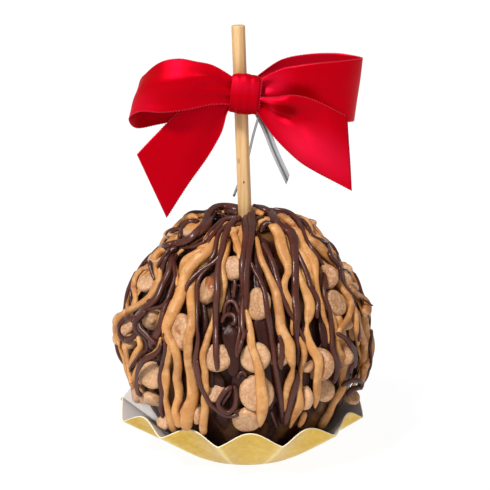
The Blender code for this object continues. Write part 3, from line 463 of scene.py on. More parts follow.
# The twist tie: the twist behind the knot, its two loose ends, and the way that each one's width lies.
TIE_TWIST = ((1.4, 2.4, 128.0), (3.4, 2.2, 125.4), (4.6, 1.0, 121.4))
TIE_END_FRONT = ((4.6, 0.8, 121.6), (7.0, -1.8, 117.0), (10.3, -3.0, 108.8), (14.7, -3.4, 99.4))
TIE_END_BACK = ((4.6, 1.2, 121.6), (2.5, 4.0, 113.6), (0.2, 6.4, 103.6), (-4.4, 9.6, 90.6))
TIE_TWIST_ACROSS = (0.8, 0.5, 0.4)
TIE_FRONT_ACROSS = (1.0, -0.5, 0.3)
TIE_BACK_ACROSS = (0.2, 1.0, 0.3)


# ------------------------------------------------------------------ shapes and meshes


SMOOTH_NOISE = np.vectorize(lambda x, y, z: noise.noise(Vector((x, y, z))), otypes=[float])


def wobble(x, y, z=0.0):
    """Smooth noise between about -1 and 1, at one place or at arrays of them."""
    return SMOOTH_NOISE(x, y, z)


def around(count):
    """Even turns about an axis, in radians."""
    return 2 * np.pi * np.arange(count) / count


def unit_rows(rows):
    return rows / np.linalg.norm(rows, axis=-1, keepdims=True)


def lengths_along(line):
    """How far along a line each of its points lies."""
    return np.append(0, np.cumsum(np.linalg.norm(np.diff(line, axis=0), axis=1)))


def spline(points, steps):
    """Points along a Catmull-Rom curve through the given ones, with steps to each span."""
    points = np.array(points, float)
    padded = np.vstack([2 * points[0] - points[1], points, 2 * points[-1] - points[-2]])
    shares = (np.arange(steps) / steps)[:, None]
    made = []
    for i in range(1, len(padded) - 2):
        before, start, end, after = padded[i - 1 : i + 3]
        bend = 2 * before - 5 * start + 4 * end - after
        turn = 3 * start - before - 3 * end + after
        made.append(
            0.5 * (2 * start + (end - before) * shares + bend * shares**2 + turn * shares**3)
        )
    made.append(points[-1:])
    return np.vstack(made)


def add_piece(name, points, faces, materials, slots=None):
    """A smooth mesh from points in millimetres, at the origin."""
    mesh = bpy.data.meshes.new(name)
    mesh.from_pydata((np.array(points) * MM).tolist(), [], faces)
    for made in materials:
        mesh.materials.append(made)
    if slots is not None:
        mesh.polygons.foreach_set("material_index", slots)
    mesh.shade_smooth()
    mesh.update()
    obj = bpy.data.objects.new(name, mesh)
    bpy.context.scene.collection.objects.link(obj)
    return obj


def set_attribute(obj, name, values):
    made = obj.data.attributes.new(name, "FLOAT", "POINT")
    made.data.foreach_set("value", np.array(values, np.float32))


def place(piece, slot, node):
    """The piece rides on the part's one body and stands for a node. Its slot is not used."""
    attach(piece, "root")
    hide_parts(node)


def quads(*corners):
    """Four-sided faces from arrays of their corners' numbers."""
    return np.stack(corners, axis=-1).reshape(-1, 4).tolist()


def tube_faces(rings, sides, first=0):
    """Side faces between rings of points, and a cap on each end."""
    here = first + np.arange(rings * sides).reshape(rings, sides)
    beside = np.roll(here, -1, axis=1)
    faces = quads(here[:-1], beside[:-1], beside[1:], here[1:])
    return faces + [here[0, ::-1].tolist(), here[-1].tolist()]


def sheet_mesh(grid, walls, closed=False):
    """Points and faces of a closed thin solid about a grid of points.

    walls is the thickness at each column. A closed grid's last row joins its first.
    """
    rows, columns, _ = grid.shape
    along = np.gradient(grid, axis=0)
    if closed:
        along = np.roll(grid, -1, axis=0) - np.roll(grid, 1, axis=0)
    half = unit_rows(np.cross(along, np.gradient(grid, axis=1)))
    half *= (np.broadcast_to(walls, columns) / 2)[:, None]
    numbers = np.arange(2 * rows * columns).reshape(2, rows, columns)
    if closed:
        numbers = np.concatenate([numbers, numbers[:, :1]], axis=1)
    front, back = numbers
    faces = quads(front[:-1, :-1], front[:-1, 1:], front[1:, 1:], front[1:, :-1])
    faces += quads(back[:-1, :-1], back[1:, :-1], back[1:, 1:], back[:-1, 1:])
    faces += quads(front[:-1, 0], front[1:, 0], back[1:, 0], back[:-1, 0])
    faces += quads(front[:-1, -1], back[:-1, -1], back[1:, -1], front[1:, -1])
    if not closed:
        faces += quads(front[0, :-1], back[0, :-1], back[0, 1:], front[0, 1:])
        faces += quads(front[-1, :-1], front[-1, 1:], back[-1, 1:], back[-1, :-1])
    return np.vstack([(grid + half).reshape(-1, 3), (grid - half).reshape(-1, 3)]), faces


# ------------------------------------------------------------------ materials

UNSTRETCHED = (1.0, 1.0, 1.0)
WHITE = (1.0, 1.0, 1.0, 1.0)
SOFT_DEPTHS = (1.0, 0.5, 0.2)
TONE_SPAN = (0.7, 1.3)
NOISE_SPAN = (0.3, 0.7)


class Paint:
    """A node material under construction, with short calls for the nodes that it uses."""

    def __init__(self, name, stretch=UNSTRETCHED, **sockets):
        self.material = bpy.data.materials.new(name)
        self.material.use_nodes = True
        self.tree = self.material.node_tree
        self.shader = self.tree.nodes["Principled BSDF"]
        self.here = self.place(stretch)
        for socket, value in sockets.items():
            self.set(self.shader, socket.replace("_", " "), value)

    def set(self, node, key, value):
        """Links the value to the node's input, or writes it there."""
        if isinstance(value, bpy.types.NodeSocket):
            self.tree.links.new(value, node.inputs[key])
        else:
            node.inputs[key].default_value = value

    def node(self, kind, inputs=None, **settings):
        made = self.tree.nodes.new("ShaderNode" + kind)
        for key, value in settings.items():
            setattr(made, key, value)
        for key, value in (inputs or {}).items():
            self.set(made, key, value)
        return made

    def place(self, stretch):
        """Object coordinates in millimetres, stretched along each axis."""
        where = self.node("TexCoord").outputs["Object"]
        inputs = {"Vector": where, "Scale": [s / MM for s in stretch]}
        return self.node("Mapping", inputs).outputs["Vector"]

    def noise(self, scale, detail=2.0, roughness=0.5, place=None):
        where = self.here if place is None else place
        inputs = {"Vector": where, "Scale": scale, "Detail": detail, "Roughness": roughness}
        return self.node("TexNoise", inputs).outputs["Fac"]

    def facing(self):
        """A share that grows where the surface turns away from the eye."""
        return self.node("LayerWeight", {"Blend": 0.5}).outputs["Facing"]

    def attribute(self, name):
        return self.node("Attribute", attribute_name=name).outputs["Fac"]

    def remap(self, value, span, low=0.0, high=1.0):
        inputs = {"Value": value, "From Min": span[0], "From Max": span[1]}
        inputs.update({"To Min": low, "To Max": high})
        return self.node("MapRange", inputs).outputs["Result"]

    def math(self, operation, a, b=0.0):
        return self.node("Math", {0: a, 1: b}, operation=operation).outputs[0]

    def mix(self, share, first, second):
        made = self.node("Mix", {0: share}, data_type="RGBA")
        for index, value in ((6, first), (7, second)):
            self.set(made, index, (*value, 1.0) if isinstance(value, tuple) else value)
        return made.outputs[2]

    def toned(self, scale, dark, light):
        """A colour that follows slow noise and the tone of each strand or chip, with the painted shade
        towards +X in it.
        """
        tone = self.math("ADD", self.noise(scale), self.attribute("tone"))
        return self.mix(self.remap(tone, TONE_SPAN), dark, light)

    def over(self, body, share, span, colour, most=1.0):
        """A colour laid over the body, from none to the most as the share crosses the span."""
        return self.mix(self.remap(share, span, 0.0, most), body, colour)

    def done(self, body, rough, *bumps):
        """Links the colour, the roughness (share, low, high) and the bumps (height, distance)."""
        self.set(self.shader, "Base Color", body)
        if rough:
            share, low, high = rough
            self.set(self.shader, "Roughness", self.remap(share, NOISE_SPAN, low, high))
        below = {}
        for height, distance in bumps:
            made = self.node("Bump", {"Height": height, "Distance": distance * MM, **below})
            below = {"Normal": made.outputs["Normal"]}
        for socket, value in below.items():
            self.set(self.shader, socket, value)
        return self.material


def peanut_paint():
    """Peanut butter drizzle: tan, satin, with slow changes of tone, small dark specks, and painted shade
    along each strand's sides.
    """
    paint = Paint(
        "peanut_drizzle", Specular_IOR_Level=0.35, Subsurface_Weight=0.12, Subsurface_Scale=0.0012,
        Subsurface_Radius=SOFT_DEPTHS,
    )
    deep, light, pale = (0.40, 0.158, 0.040), (0.68, 0.330, 0.106), (0.74, 0.43, 0.185)
    speck, edge = (0.26, 0.09, 0.03), (0.42, 0.135, 0.026)
    body = paint.toned(0.11, deep, light)
    body = paint.over(body, paint.noise(0.34, 3.0), (0.48, 0.68), pale, 0.6)
    body = paint.over(body, paint.noise(1.5, 1.0), (0.70, 0.76), speck)
    # Painted shade: deeper orange where the strand turns from the eye, at its sides.
    body = paint.over(body, paint.facing(), (0.25, 0.85), edge, 0.6)
    bumps = ((paint.noise(2.4, 3.0), 0.05), (paint.noise(0.42, 3.0), 0.24))
    return paint.done(body, (paint.noise(0.5), 0.36, 0.54), *bumps)


def chocolate_paint():
    """Chocolate drizzle: purple-brown, with soft long highlights, and painted shade along each strand's
    sides.
    """
    paint = Paint("chocolate_drizzle", Specular_IOR_Level=0.35)
    dark, light, edge = (0.060, 0.0140, 0.0085), (0.105, 0.030, 0.020), (0.035, 0.008, 0.004)
    # Painted shade: darker where the strand turns from the eye, at its sides.
    body = paint.over(paint.toned(0.16, dark, light), paint.facing(), (0.2, 0.8), edge, 0.7)
    return paint.done(body, (paint.noise(0.5), 0.22, 0.36), (paint.noise(0.8, 3.0), 0.10))


def flow_paint():
    """Broad flows of chocolate low in the gaps: glossier than the drizzle, and darker, as dark chocolate
    with painted shade of the gaps in its colour.
    """
    paint = Paint("chocolate_flow", (1.0, 1.0, 0.5), Specular_IOR_Level=0.2)
    # Dark chocolate, darkened further as painted shade of the gaps between the strands.
    dark, light = (0.022, 0.0045, 0.003), (0.055, 0.014, 0.008)
    body = paint.mix(paint.noise(0.3), dark, light)
    return paint.done(body, (paint.noise(0.5), 0.26, 0.44), (paint.noise(0.7, 3.0), 0.25))


def coat_paint():
    """The coat: glossy dark chocolate with caramel showing through in long patches."""
    paint = Paint("dark_coat", (1.0, 1.0, 0.35), Specular_IOR_Level=0.2)
    dark, light, caramel = (0.016, 0.0022, 0.0012), (0.040, 0.009, 0.004), (0.150, 0.062, 0.018)
    body = paint.mix(paint.noise(0.3), dark, light)
    body = paint.over(body, paint.noise(0.12, 3.0), (0.48, 0.62), caramel)
    return paint.done(body, (paint.noise(0.4), 0.3, 0.5), (paint.noise(0.45, 3.0), 0.3))


def chip_paint():
    """Peanut butter chips: matte beige-brown with a fine speckle, and a glaze on some."""
    paint = Paint(
        "peanut_chip", Subsurface_Weight=0.08, Subsurface_Scale=0.001, Subsurface_Radius=SOFT_DEPTHS
    )
    deep, light, pale = (0.38, 0.175, 0.072), (0.62, 0.345, 0.170), (0.80, 0.52, 0.31)
    pit, glazed = (0.27, 0.10, 0.04), (0.30, 0.085, 0.025)
    body = paint.toned(0.25, deep, light)
    body = paint.over(body, paint.noise(1.1, 3.0, 0.6), (0.42, 0.72), pale, 0.62)
    body = paint.over(body, paint.noise(1.3, 3.0, 0.6), (0.58, 0.72), pit, 0.7)
    patches = paint.remap(paint.noise(0.16), (0.56, 0.66))
    glaze = paint.math("MULTIPLY", patches, paint.attribute("glaze"))
    rough = (paint.math("SUBTRACT", 0.75, glaze), 0.2, 0.5)
    bumps = ((paint.noise(1.8, 3.0, 0.6), 0.09), (paint.noise(0.4, 3.0), 0.4))
    return paint.done(paint.mix(glaze, body, glazed), rough, *bumps)


# The stick's two small knots: place, reach and how deep the colour goes.
BIRCH_KNOTS = ((-0.75, -2.4, 98.3, 0.36, 0.95), (-2.6, -1.8, 105.8, 0.7, 0.4))


def birch_paint():
    """Bare birch: pale, with long fine grain, a lighter streak, and two small knots."""
    paint = Paint("birch", (1.0, 1.0, 0.03))
    tan, pale, grain = (0.60, 0.335, 0.130), (0.80, 0.52, 0.245), (0.40, 0.205, 0.075)
    fine = paint.noise(3.4, 4.0, 0.6)
    body = paint.mix(paint.remap(paint.noise(0.55), (0.38, 0.62)), tan, pale)
    body = paint.over(body, fine, (0.52, 0.72), grain, 0.45)
    long = 0.55
    place = paint.place((1.0, 1.0, long))
    for x, y, z, reach, deep in BIRCH_KNOTS:
        away = paint.node("VectorMath", {0: place, 1: (x, y, z * long)}, operation="DISTANCE")
        span = (reach, reach * 0.55)
        body = paint.over(body, away.outputs["Value"], span, (0.035, 0.012, 0.006), deep)
    return paint.done(body, (fine, 0.62, 0.46), (fine, 0.06))


def gold_paint():
    """The cup's outside: satin gold foil on card, paler where it is pressed, with a painted highlight
    along each crease.
    """
    paint = Paint("gold_foil", Metallic=0.78)
    deep, light = (0.58, 0.345, 0.030), (0.72, 0.460, 0.055)
    pressed, crease = (0.84, 0.60, 0.12), (0.96, 0.80, 0.30)
    body = paint.mix(paint.remap(paint.noise(0.09, 3.0), (0.35, 0.65)), deep, light)
    streaks = paint.noise(0.55, place=paint.place((1.0, 1.0, 0.15)))
    body = paint.over(body, streaks, (0.40, 0.70), pressed, 0.35)
    # Painted highlight along the creases between the flutes.
    body = paint.over(body, paint.attribute("crease"), (0.0, 1.0), crease, 0.55)
    return paint.done(body, (paint.noise(0.25, 3.0), 0.30, 0.42), (paint.noise(0.5, 3.0), 0.05))


def silver_paint():
    """The cup's inside: a dull silver-grey face."""
    paint = Paint("silver_lining", Metallic=0.05)
    body = paint.mix(paint.noise(0.1), (0.76, 0.72, 0.68), (0.90, 0.86, 0.82))
    return paint.done(body, (paint.noise(0.3), 0.28, 0.40), (paint.noise(0.5, 3.0), 0.04))


def card_paint():
    """The cut edge of the cup's card."""
    paint = Paint("card_edge", Roughness=0.8)
    body = paint.mix(paint.noise(1.2), (0.74, 0.62, 0.36), (0.88, 0.80, 0.60))
    return paint.done(body, None, (paint.noise(3.0), 0.05))


def satin_paint():
    """Red satin: thread colours that wander, pink-tinted gloss, and a soft pink painted highlight and
    painted shade in spots.
    """
    paint = Paint(
        "red_satin", Metallic=0.35, Specular_IOR_Level=0.32, Specular_Tint=(1.0, 0.03, 0.33, 1.0)
    )
    red, bright, thread = (0.47, 0.0, 0.0008), (0.55, 0.0, 0.0030), (0.36, 0.0, 0.004)
    shine, shade, edge = (0.86, 0.008, 0.040), (0.33, 0.0, 0.0008), (0.64, 0.010, 0.03)
    threads = paint.noise(4.0)
    painted_light_and_shade = paint.attribute("painted_light_and_shade")
    body = paint.mix(paint.noise(0.12), red, bright)
    body = paint.over(body, threads, (0.35, 0.65), thread, 0.25)
    # Painted highlight and painted shade, laid on where the attribute is above or below 0.
    body = paint.over(body, painted_light_and_shade, (0.0, 1.0), shine)
    body = paint.over(body, painted_light_and_shade, (0.0, -1.0), shade)
    body = paint.over(body, paint.attribute("edge"), (0.55, 0.0), edge, 0.45)
    return paint.done(body, (threads, 0.36, 0.46), (threads, 0.03))


def picot_paint():
    """The ribbon's edge loops: the same thread, lighter and darker in small patches of noise."""
    paint = Paint("red_picot", Roughness=0.6)
    body = paint.mix(paint.noise(1.5), (0.60, 0.012, 0.04), (0.76, 0.075, 0.125))
    return paint.done(body, None, (paint.noise(6.0), 0.05))


def tie_paint():
    """A silver plastic strip with the wire's darker line along its middle."""
    paint = Paint("silver_tie", Metallic=0.55)
    grey, light = (0.36, 0.37, 0.385), (0.50, 0.51, 0.53)
    wire, rim = (0.16, 0.165, 0.18), (0.62, 0.63, 0.65)
    across = paint.math("ABSOLUTE", paint.attribute("across"))
    body = paint.mix(paint.noise(0.3), grey, light)
    body = paint.over(body, across, (0.36, 0.16), wire)
    body = paint.over(body, across, (0.75, 1.0), rim)
    return paint.done(body, (paint.noise(1.0), 0.26, 0.38), (paint.noise(1.2), 0.04))


def floor_paint():
    """A pale floor that nearly glows, so that it shows as the photograph's white ground."""
    paint = Paint("pale_floor", Roughness=0.9, Emission_Strength=0.94, Emission_Color=WHITE)
    return paint.done(paint.mix(paint.noise(0.02), (0.07, 0.07, 0.07), (0.08, 0.08, 0.08)), None)


# ------------------------------------------------------------------ the apple


def direction(azimuth, latitude):
    """Unit directions from the core's centre, from azimuths and latitudes in degrees."""
    a, b = np.radians(azimuth), np.radians(latitude)
    parts = np.broadcast_arrays(np.cos(b) * np.sin(a), -np.cos(b) * np.cos(a), np.sin(b))
    return np.stack(parts, axis=-1)


def core_distances(units):
    """How far the core's surface lies from its centre along each unit direction."""
    above = units[:, 2] > 0
    power = np.where(above, CORE_POWER_ABOVE, CORE_POWER_BELOW)
    across = np.hypot(units[:, 0], units[:, 1]) / CORE_RADIUS
    up = np.abs(units[:, 2]) / np.where(above, CORE_TOP, CORE_BOTTOM)
    return (across**power + up**power) ** (-1 / power) - COAT_INSET


def on_core(units, lifts):
    points = units * (core_distances(units) + lifts)[:, None]
    points[:, 2] = np.maximum(points[:, 2] + CORE_CENTRE_Z, FOOT_Z)
    return points


# The stretch of each ray from the camera that can meet the apple, and the steps along it.
SEEN_FROM, SEEN_TO, SEEN_STEPS = 650.0, 726.0, 420


def camera_rays(columns, rows):
    """The camera's place from the core's centre, and unit rays through pixels of the photograph."""
    focal = CAMERA_LENS / CAMERA_SENSOR * PHOTO_PIXELS
    ahead = np.array([0.0, math.sin(CAMERA_TILT), -math.cos(CAMERA_TILT)])
    above = np.array([0.0, math.cos(CAMERA_TILT), math.sin(CAMERA_TILT)])
    right = (np.array(columns, float) - PHOTO_MIDDLE[0]) / focal
    down = (np.array(rows, float) - PHOTO_MIDDLE[1]) / focal
    rays = unit_rows(ahead + right[:, None] * np.array([1.0, 0.0, 0.0]) - down[:, None] * above)
    return np.array(CAMERA_AT) / MM - np.array([0.0, 0.0, CORE_CENTRE_Z]), rays


def seen(columns, rows, lifts):
    """Where the camera meets the lifted core at pixels of the photograph.

    Gives unit directions from the core's centre, and how far each ray stays outside.
    """
    start, rays = camera_rays(columns, rows)
    steps = np.linspace(SEEN_FROM, SEEN_TO, SEEN_STEPS)
    points = start + rays[:, None] * steps[None, :, None]
    reach = np.linalg.norm(points, axis=2)
    units = points / reach[:, :, None]
    cores = core_distances(units.reshape(-1, 3)).reshape(reach.shape)
    over = reach - cores - np.array(lifts)[:, None]
    met = over <= 0
    hit = met.any(axis=1)
    first = np.where(hit, met.argmax(axis=1), over.argmin(axis=1))
    row = np.arange(len(first))
    before = np.maximum(first - 1, 0)
    near, far = over[row, before], over[row, first]
    share = np.where(hit, near / np.maximum(near - far, 1e-9), 1.0)[:, None]
    found = unit_rows(units[row, before] * (1 - share) + units[row, first] * share)
    return found, np.maximum(over[row, first], 0.0)


NEAR_MARGIN = 0.12


class Cover:
    """What already lies on the core, for laying the next strand on top of it."""

    def __init__(self):
        self.units = np.empty((0, 3))
        self.heights, self.radii, self.flats = np.empty((3, 0))

    def add(self, units, heights, radii, flats):
        self.units = np.vstack([self.units, units])
        self.heights = np.append(self.heights, heights)
        self.radii = np.append(self.radii, np.broadcast_to(radii, len(units)))
        self.flats = np.append(self.flats, np.broadcast_to(flats, len(units)))

    def support(self, units):
        """Height of the cover's surface over the core along each unit direction."""
        middle = unit_rows(units.mean(axis=0))
        spread = np.linalg.norm(units - middle, axis=1).max() + NEAR_MARGIN
        near = np.linalg.norm(self.units - middle, axis=1) < spread
        if not near.any():
            return np.zeros(len(units))
        away = np.linalg.norm(self.units[near][None] - units[:, None], axis=2) * CORE_RADIUS
        radii = self.radii[near]
        rise = np.sqrt(np.maximum(radii**2 - away**2, 0)) * self.flats[near]
        return np.where(away < radii, self.heights[near] + rise, 0.0).max(axis=1)


CUP_GAP = 0.9
FREE_RISE = 3.0
FREE_REACH = 8.0


def inside_cup(points):
    """Points near the cup drawn in towards the axis, as far as its wall needs."""
    share = np.clip(points[:, 2] / CUP_RIM_Z, 0.0, 1.0) ** (1 / CUP_WALL_CURVE)
    wall = CUP_BASE_RADIUS + (CUP_RIM_RADIUS - CUP_BASE_RADIUS - CUP_RIM_WAVE) * share - CUP_GAP
    free = np.clip((points[:, 2] - CUP_RIM_Z) / FREE_RISE, 0.0, 1.0) * FREE_REACH
    out = np.hypot(points[:, 0], points[:, 1])
    points[:, :2] *= np.minimum(1.0, (wall + free) / out)[:, None]
    return points


# A chip's outline from its flat base to its tip: radius and height, as shares of its size.
CHIP_PROFILE = (
    (0.30, -0.475), (0.58, -0.475), (0.78, -0.455), (0.90, -0.39), (0.975, -0.28), (1.0, -0.14),
    (0.975, 0.0), (0.90, 0.13), (0.77, 0.25), (0.60, 0.35), (0.42, 0.43), (0.27, 0.50),
    (0.16, 0.57), (0.08, 0.63),
)
CHIP_AROUND = 28
CHIP_DENT = 0.05
CHIP_DENT_SCALES = (1.3, 2.2)
CHIP_OVAL = 0.06
CHIP_CONTACT = 1.3
CHIP_CONTACT_FLAT = 0.8
CHIP_PROUD = 0.6
CHIP_TONES = (0.25, 0.75)
CHIP_LIFT = 3.0
CHIP_BIAS = 1.2
GLAZED_EVERY = 5


def chip_mesh(unit, lift, facing, pose, draw):
    """Points of one drop-shaped chip, with a flat base and a low cone, pressed into the coat."""
    scale, tilt, spin = pose
    side = unit_rows(np.cross([0.0, 0.0, 1.0], facing))
    up = np.cross(facing, side)
    lean, angle = math.radians(spin), math.radians(tilt)
    hinge = side * math.cos(lean) + up * math.sin(lean)
    axis = -facing * math.cos(angle) + np.cross(hinge, facing) * math.sin(angle)
    second = np.cross(axis, hinge)
    centre = on_core(unit[None], np.array([lift]))[0]
    seed = draw.uniform(0, 100)
    oval = 1 + draw.uniform(-CHIP_OVAL, CHIP_OVAL)
    radii, heights = np.array(CHIP_PROFILE).T[:, :, None]
    cos, sin = np.cos(around(CHIP_AROUND)), np.sin(around(CHIP_AROUND))
    across, along = CHIP_DENT_SCALES
    dent = 1 + CHIP_DENT * wobble(across * cos + seed, across * sin, along * heights)
    rim = hinge * cos[:, None] * oval + second * sin[:, None] / oval
    shape = rim * radii[..., None] + axis * heights[..., None]
    points = centre + CHIP_RADIUS * scale * dent[..., None] * shape
    return inside_cup(points.reshape(-1, 3))


def about(value, spread, draw):
    return value + draw.uniform(-spread, spread)


def back_strands(first, spacing, count, width, wander, draw):
    """Turning points of the strands that run down the sides and back."""
    strands = []
    for i in range(count):
        azimuth = first + spacing * i
        turns = [(about(azimuth, BACK_TOP_WANDER, draw), BACK_TOPS[i % len(BACK_TOPS)])]
        for latitude in BACK_LATITUDES:
            turns.append((about(azimuth, wander, draw), about(latitude, BACK_LATITUDE_WANDER, draw)))
        turns.append((about(azimuth, wander, draw), draw.uniform(*BACK_FOOT)))
        strands.append((width * draw.uniform(*BACK_WIDTHS), BACK_POINTED, turns))
    return strands


def back_chips(draw):
    """Chips in staggered rows down the back."""
    spots = []
    low, high = BACK_HALF
    for row, (latitude, count) in enumerate(CHIP_ROWS_BACK):
        for k in range(count):
            share = (k + ROW_START + ROW_OFFSET * (row % 2)) / count
            azimuth = about(low + (high - low) * share, CHIP_WANDER[0], draw)
            spot = (azimuth, about(latitude, CHIP_WANDER[1], draw))
            pose = (draw.uniform(*CHIP_SCALES), draw.uniform(*CHIP_TILTS), draw.uniform(0, 360))
            spots.append(spot + pose)
    return spots


def chip_places(around_view):
    """Direction, height, facing, pose and glaze of each chip: the ones seen, then the others."""
    columns, rows = zip(*[spot[:2] for spot in CHIPS_SEEN])
    units, beyond = seen(columns, rows, np.full(len(CHIPS_SEEN), CHIP_LIFT))
    rays = camera_rays(columns, rows)[1]
    turned = 1 + (units * rays).sum(axis=1)
    lifts = CHIP_SINK + (CHIP_LIFT - CHIP_SINK) * turned + np.minimum(beyond, MOST_RAISED)
    facings = unit_rows(units - CHIP_BIAS * rays)
    places = []
    for unit, lift, facing, spot in zip(units, lifts, facings, CHIPS_SEEN):
        places.append((unit, lift, facing, spot[2:], float(spot[:2] in GLAZED_CHIPS)))
    for index, spot in enumerate(around_view):
        unit = direction(*spot[:2])
        places.append((unit, CHIP_SINK, unit, spot[2:], float(index % GLAZED_EVERY == 0)))
    return places


# How a strand is stepped and how it rests on what is under it.
STRAND_STEP = 0.9
STRAND_TIPS = (0.0, 0.03, 0.12, 0.28, 0.5, 0.8)
STRAND_SINK = 0.45
STRAND_HANG = 0.055
STACK_KNEE = ((50.0, 78.0), (4.2, 2.4))
STACK_SPAN = 2.0
SETTLED_SLACK = 0.1
HEIGHT_EASING = (1, 2, 3, 2, 1)
# Where the outline draws in between lumps: azimuths and latitudes, the share of a strand's height
# that is lost there, and its reach in degrees.
DRAWN_IN = ((107, 50), (99, 32), (95, 18), (90, -2), (-93, 12), (-104, 44))
DRAWN_IN_BY = 0.62
DRAWN_IN_REACH = 7.5


def stations(length, first_radius, last_radius):
    """Places along a strand: even steps, and closer ones at its rounded ends."""
    tips = np.array(STRAND_TIPS)
    middle = np.linspace(first_radius, length - last_radius, max(3, round(length / STRAND_STEP)))
    return np.concatenate([first_radius * tips, middle, length - last_radius * tips[::-1]])


def eased(values, kernel):
    """Values smoothed along the strand, column by column."""
    kernel = np.array(kernel) / np.sum(kernel)
    reach = len(kernel) // 2
    columns = values.reshape(len(values), -1)
    padded = np.pad(columns, ((reach, reach), (0, 0)), mode="reflect", reflect_type="odd")
    made = [np.convolve(column, kernel, mode="valid") for column in padded.T]
    return np.column_stack(made).reshape(values.shape)


def resampled(places, known, table):
    """Columns of a table known at some places along a strand, read at others."""
    return np.column_stack([np.interp(places, known, column) for column in table.T])


def latitudes_of(route):
    return np.degrees(np.arcsin(route[:, 2]))


def kept_share(route):
    """How much of its height a strand keeps: less where the outline draws in between lumps."""
    kept = np.ones(len(route))
    for spot in DRAWN_IN:
        away = np.degrees(np.arccos(np.clip(route @ direction(*spot), -1, 1)))
        kept -= DRAWN_IN_BY * np.exp(-((away / DRAWN_IN_REACH) ** 2))
    return kept


def settled_heights(route, at, radii, cover):
    """The strand rests on what is under it and hangs in low arcs between its supports."""
    under = cover.support(route)
    knee = np.interp(latitudes_of(route), *STACK_KNEE)
    over = np.maximum(under - knee, 0.0)
    low = np.minimum(under, knee) + STACK_SPAN * (1 - np.exp(-over / STACK_SPAN))
    low = low * kept_share(route) + STRAND_SINK * radii
    arcs = low[None] - STRAND_HANG * (at[:, None] - at[None]) ** 2
    return np.maximum(eased(arcs.max(axis=1), HEIGHT_EASING), low - SETTLED_SLACK * radii)


# Strands by rule: the even spacing of their points, how smoothly they turn, how their width
# wanders and thins towards the crown, and how long their ends are drawn out.
FINE_STEPS = 12
FINE_STEP = 0.5
SMOOTHING = 1.3
SMOOTHING_REACH = 6
WIDTH_WANDER = 0.16
WIDTH_WANDER_SCALE = 0.16
SLENDER_TOP = ((60.0, 83.0), (1.0, 0.6))
ROUND_END, POINT_END = 1.1, 3.5
ROUND_POWER, POINT_POWER = 0.5, 0.35


def ruled_strand(width, point, turns, cover, seed):
    """A strand through azimuths and latitudes, with a rounded or drawn-out end."""
    radius = width / 2
    fine = unit_rows(spline([direction(*turn) for turn in turns], FINE_STEPS))
    run = lengths_along(fine) * CORE_RADIUS
    even = np.linspace(0, run[-1], max(14, round(run[-1] / FINE_STEP)))
    reach = np.arange(-SMOOTHING_REACH, SMOOTHING_REACH + 1) * FINE_STEP
    fine = eased(resampled(even, run, fine), np.exp(-((reach / SMOOTHING) ** 2) / 2))
    at = stations(even[-1], radius, radius)
    route = unit_rows(resampled(at, even, fine))
    radii = radius * (1 + WIDTH_WANDER * wobble(WIDTH_WANDER_SCALE * at, seed))
    radii *= np.interp(latitudes_of(route), *SLENDER_TOP)
    drawn = radius * (ROUND_END + POINT_END * point)
    radii *= np.clip((at[-1] - at) / drawn, 0.0, 1.0) ** (ROUND_POWER + POINT_POWER * point)
    return route, at, settled_heights(route, at, radii, cover), radii, route


# Strands through pixels: their usual height over the core, how plump they are against their
# width in the photograph, and how far their broad side turns to the viewer.
USUAL_LIFT = 3.0
TRACED_STEPS = 10
TRACED_ROUNDS = 3
TRACED_PLUMP = 1.12
LEAST_WIDTH = 4
SEEN_BIAS = 0.8
DEPTH_EASING = (1, 2, 4, 6, 7, 6, 4, 2, 1)
# How fast a strand's depth may change, and how far it may stand off its support.
LAID_SLOPE, MOST_RAISED = 1.6, 4.5
LOBES = (LOBES_SEEN, 1.0, 8.0)
CURLS = (CURLS_SEEN, 0.3, 9.0)


def half_width(tenths):
    """The radius in millimetres of a width in tenths of a millimetre."""
    return tenths / 20


def traced_strand(turns, cover, slope, most_raised):
    """A strand that runs through pixels of the photograph, laid on what is already there.

    slope is how fast its depth may change, and most_raised how far it may stand off its support.
    """
    fine = spline(turns, TRACED_STEPS)
    lifts = np.full(len(fine), USUAL_LIFT)
    run = lengths_along(seen(fine[:, 0], fine[:, 1], lifts)[0]) * CORE_RADIUS
    at = stations(run[-1], half_width(turns[0][2]), half_width(turns[-1][2]))
    columns, rows, widths = resampled(at, run, fine).T
    radii = TRACED_PLUMP * half_width(np.maximum(widths, LEAST_WIDTH))
    heights = np.full(len(at), USUAL_LIFT)
    for _ in range(TRACED_ROUNDS):
        route = seen(columns, rows, heights)[0]
        heights = settled_heights(route, at, radii, cover)
    start, rays = camera_rays(columns, rows)
    points = route * (core_distances(route) + heights)[:, None]
    depths = ((points - start) * rays).sum(axis=1)
    depths = (depths[None] + slope * np.abs(at[:, None] - at[None])).min(axis=1)
    points = start + rays * eased(depths, DEPTH_EASING)[:, None]
    reach = np.linalg.norm(points, axis=1)
    route = points / reach[:, None]
    risen = np.clip(reach - core_distances(route), 0.0, heights + most_raised)
    end = np.clip((at[-1] - at) / radii[-1], 0.0, 1.0) ** ROUND_POWER
    outward = unit_rows(route - SEEN_BIAS * rays)
    return route, at, eased(risen, HEIGHT_EASING), radii * end, outward


# A strand's section: its flatness by radius, its three soft ridges, and the groove along it.
STRAND_SIDES = 14
FLATNESS = ((0.5, 1.2, 2.2), (1.0, 0.92, 0.76))
RIDGE = 0.05
UNDERSIDE = 0.85
TWIST, TWIST_SCALE = 2.5, 0.05
GROOVE = 0.20
GROOVE_FROM, GROOVE_OVER = 0.9, 0.8
GROOVE_SHIFT, GROOVE_REACH = 0.35, 0.22
SIDE_WANDER, SIDE_WANDER_SCALE = 0.25, 0.22
LEAST_RADIUS, LEAST_START = 0.03, 0.04
BARE_ENDS = 3
SEED_STEP = 3.7
TONE_SPREAD, TONE_STEP = 0.28, 7.3
# Painted shade: how much darker the tone gets towards +X, the side turned from the key light, and from
# where and over how far.
SIDE_SHADE_BY, SIDE_SHADE_FROM, SIDE_SHADE_OVER = 0.32, 14.0, 26.0


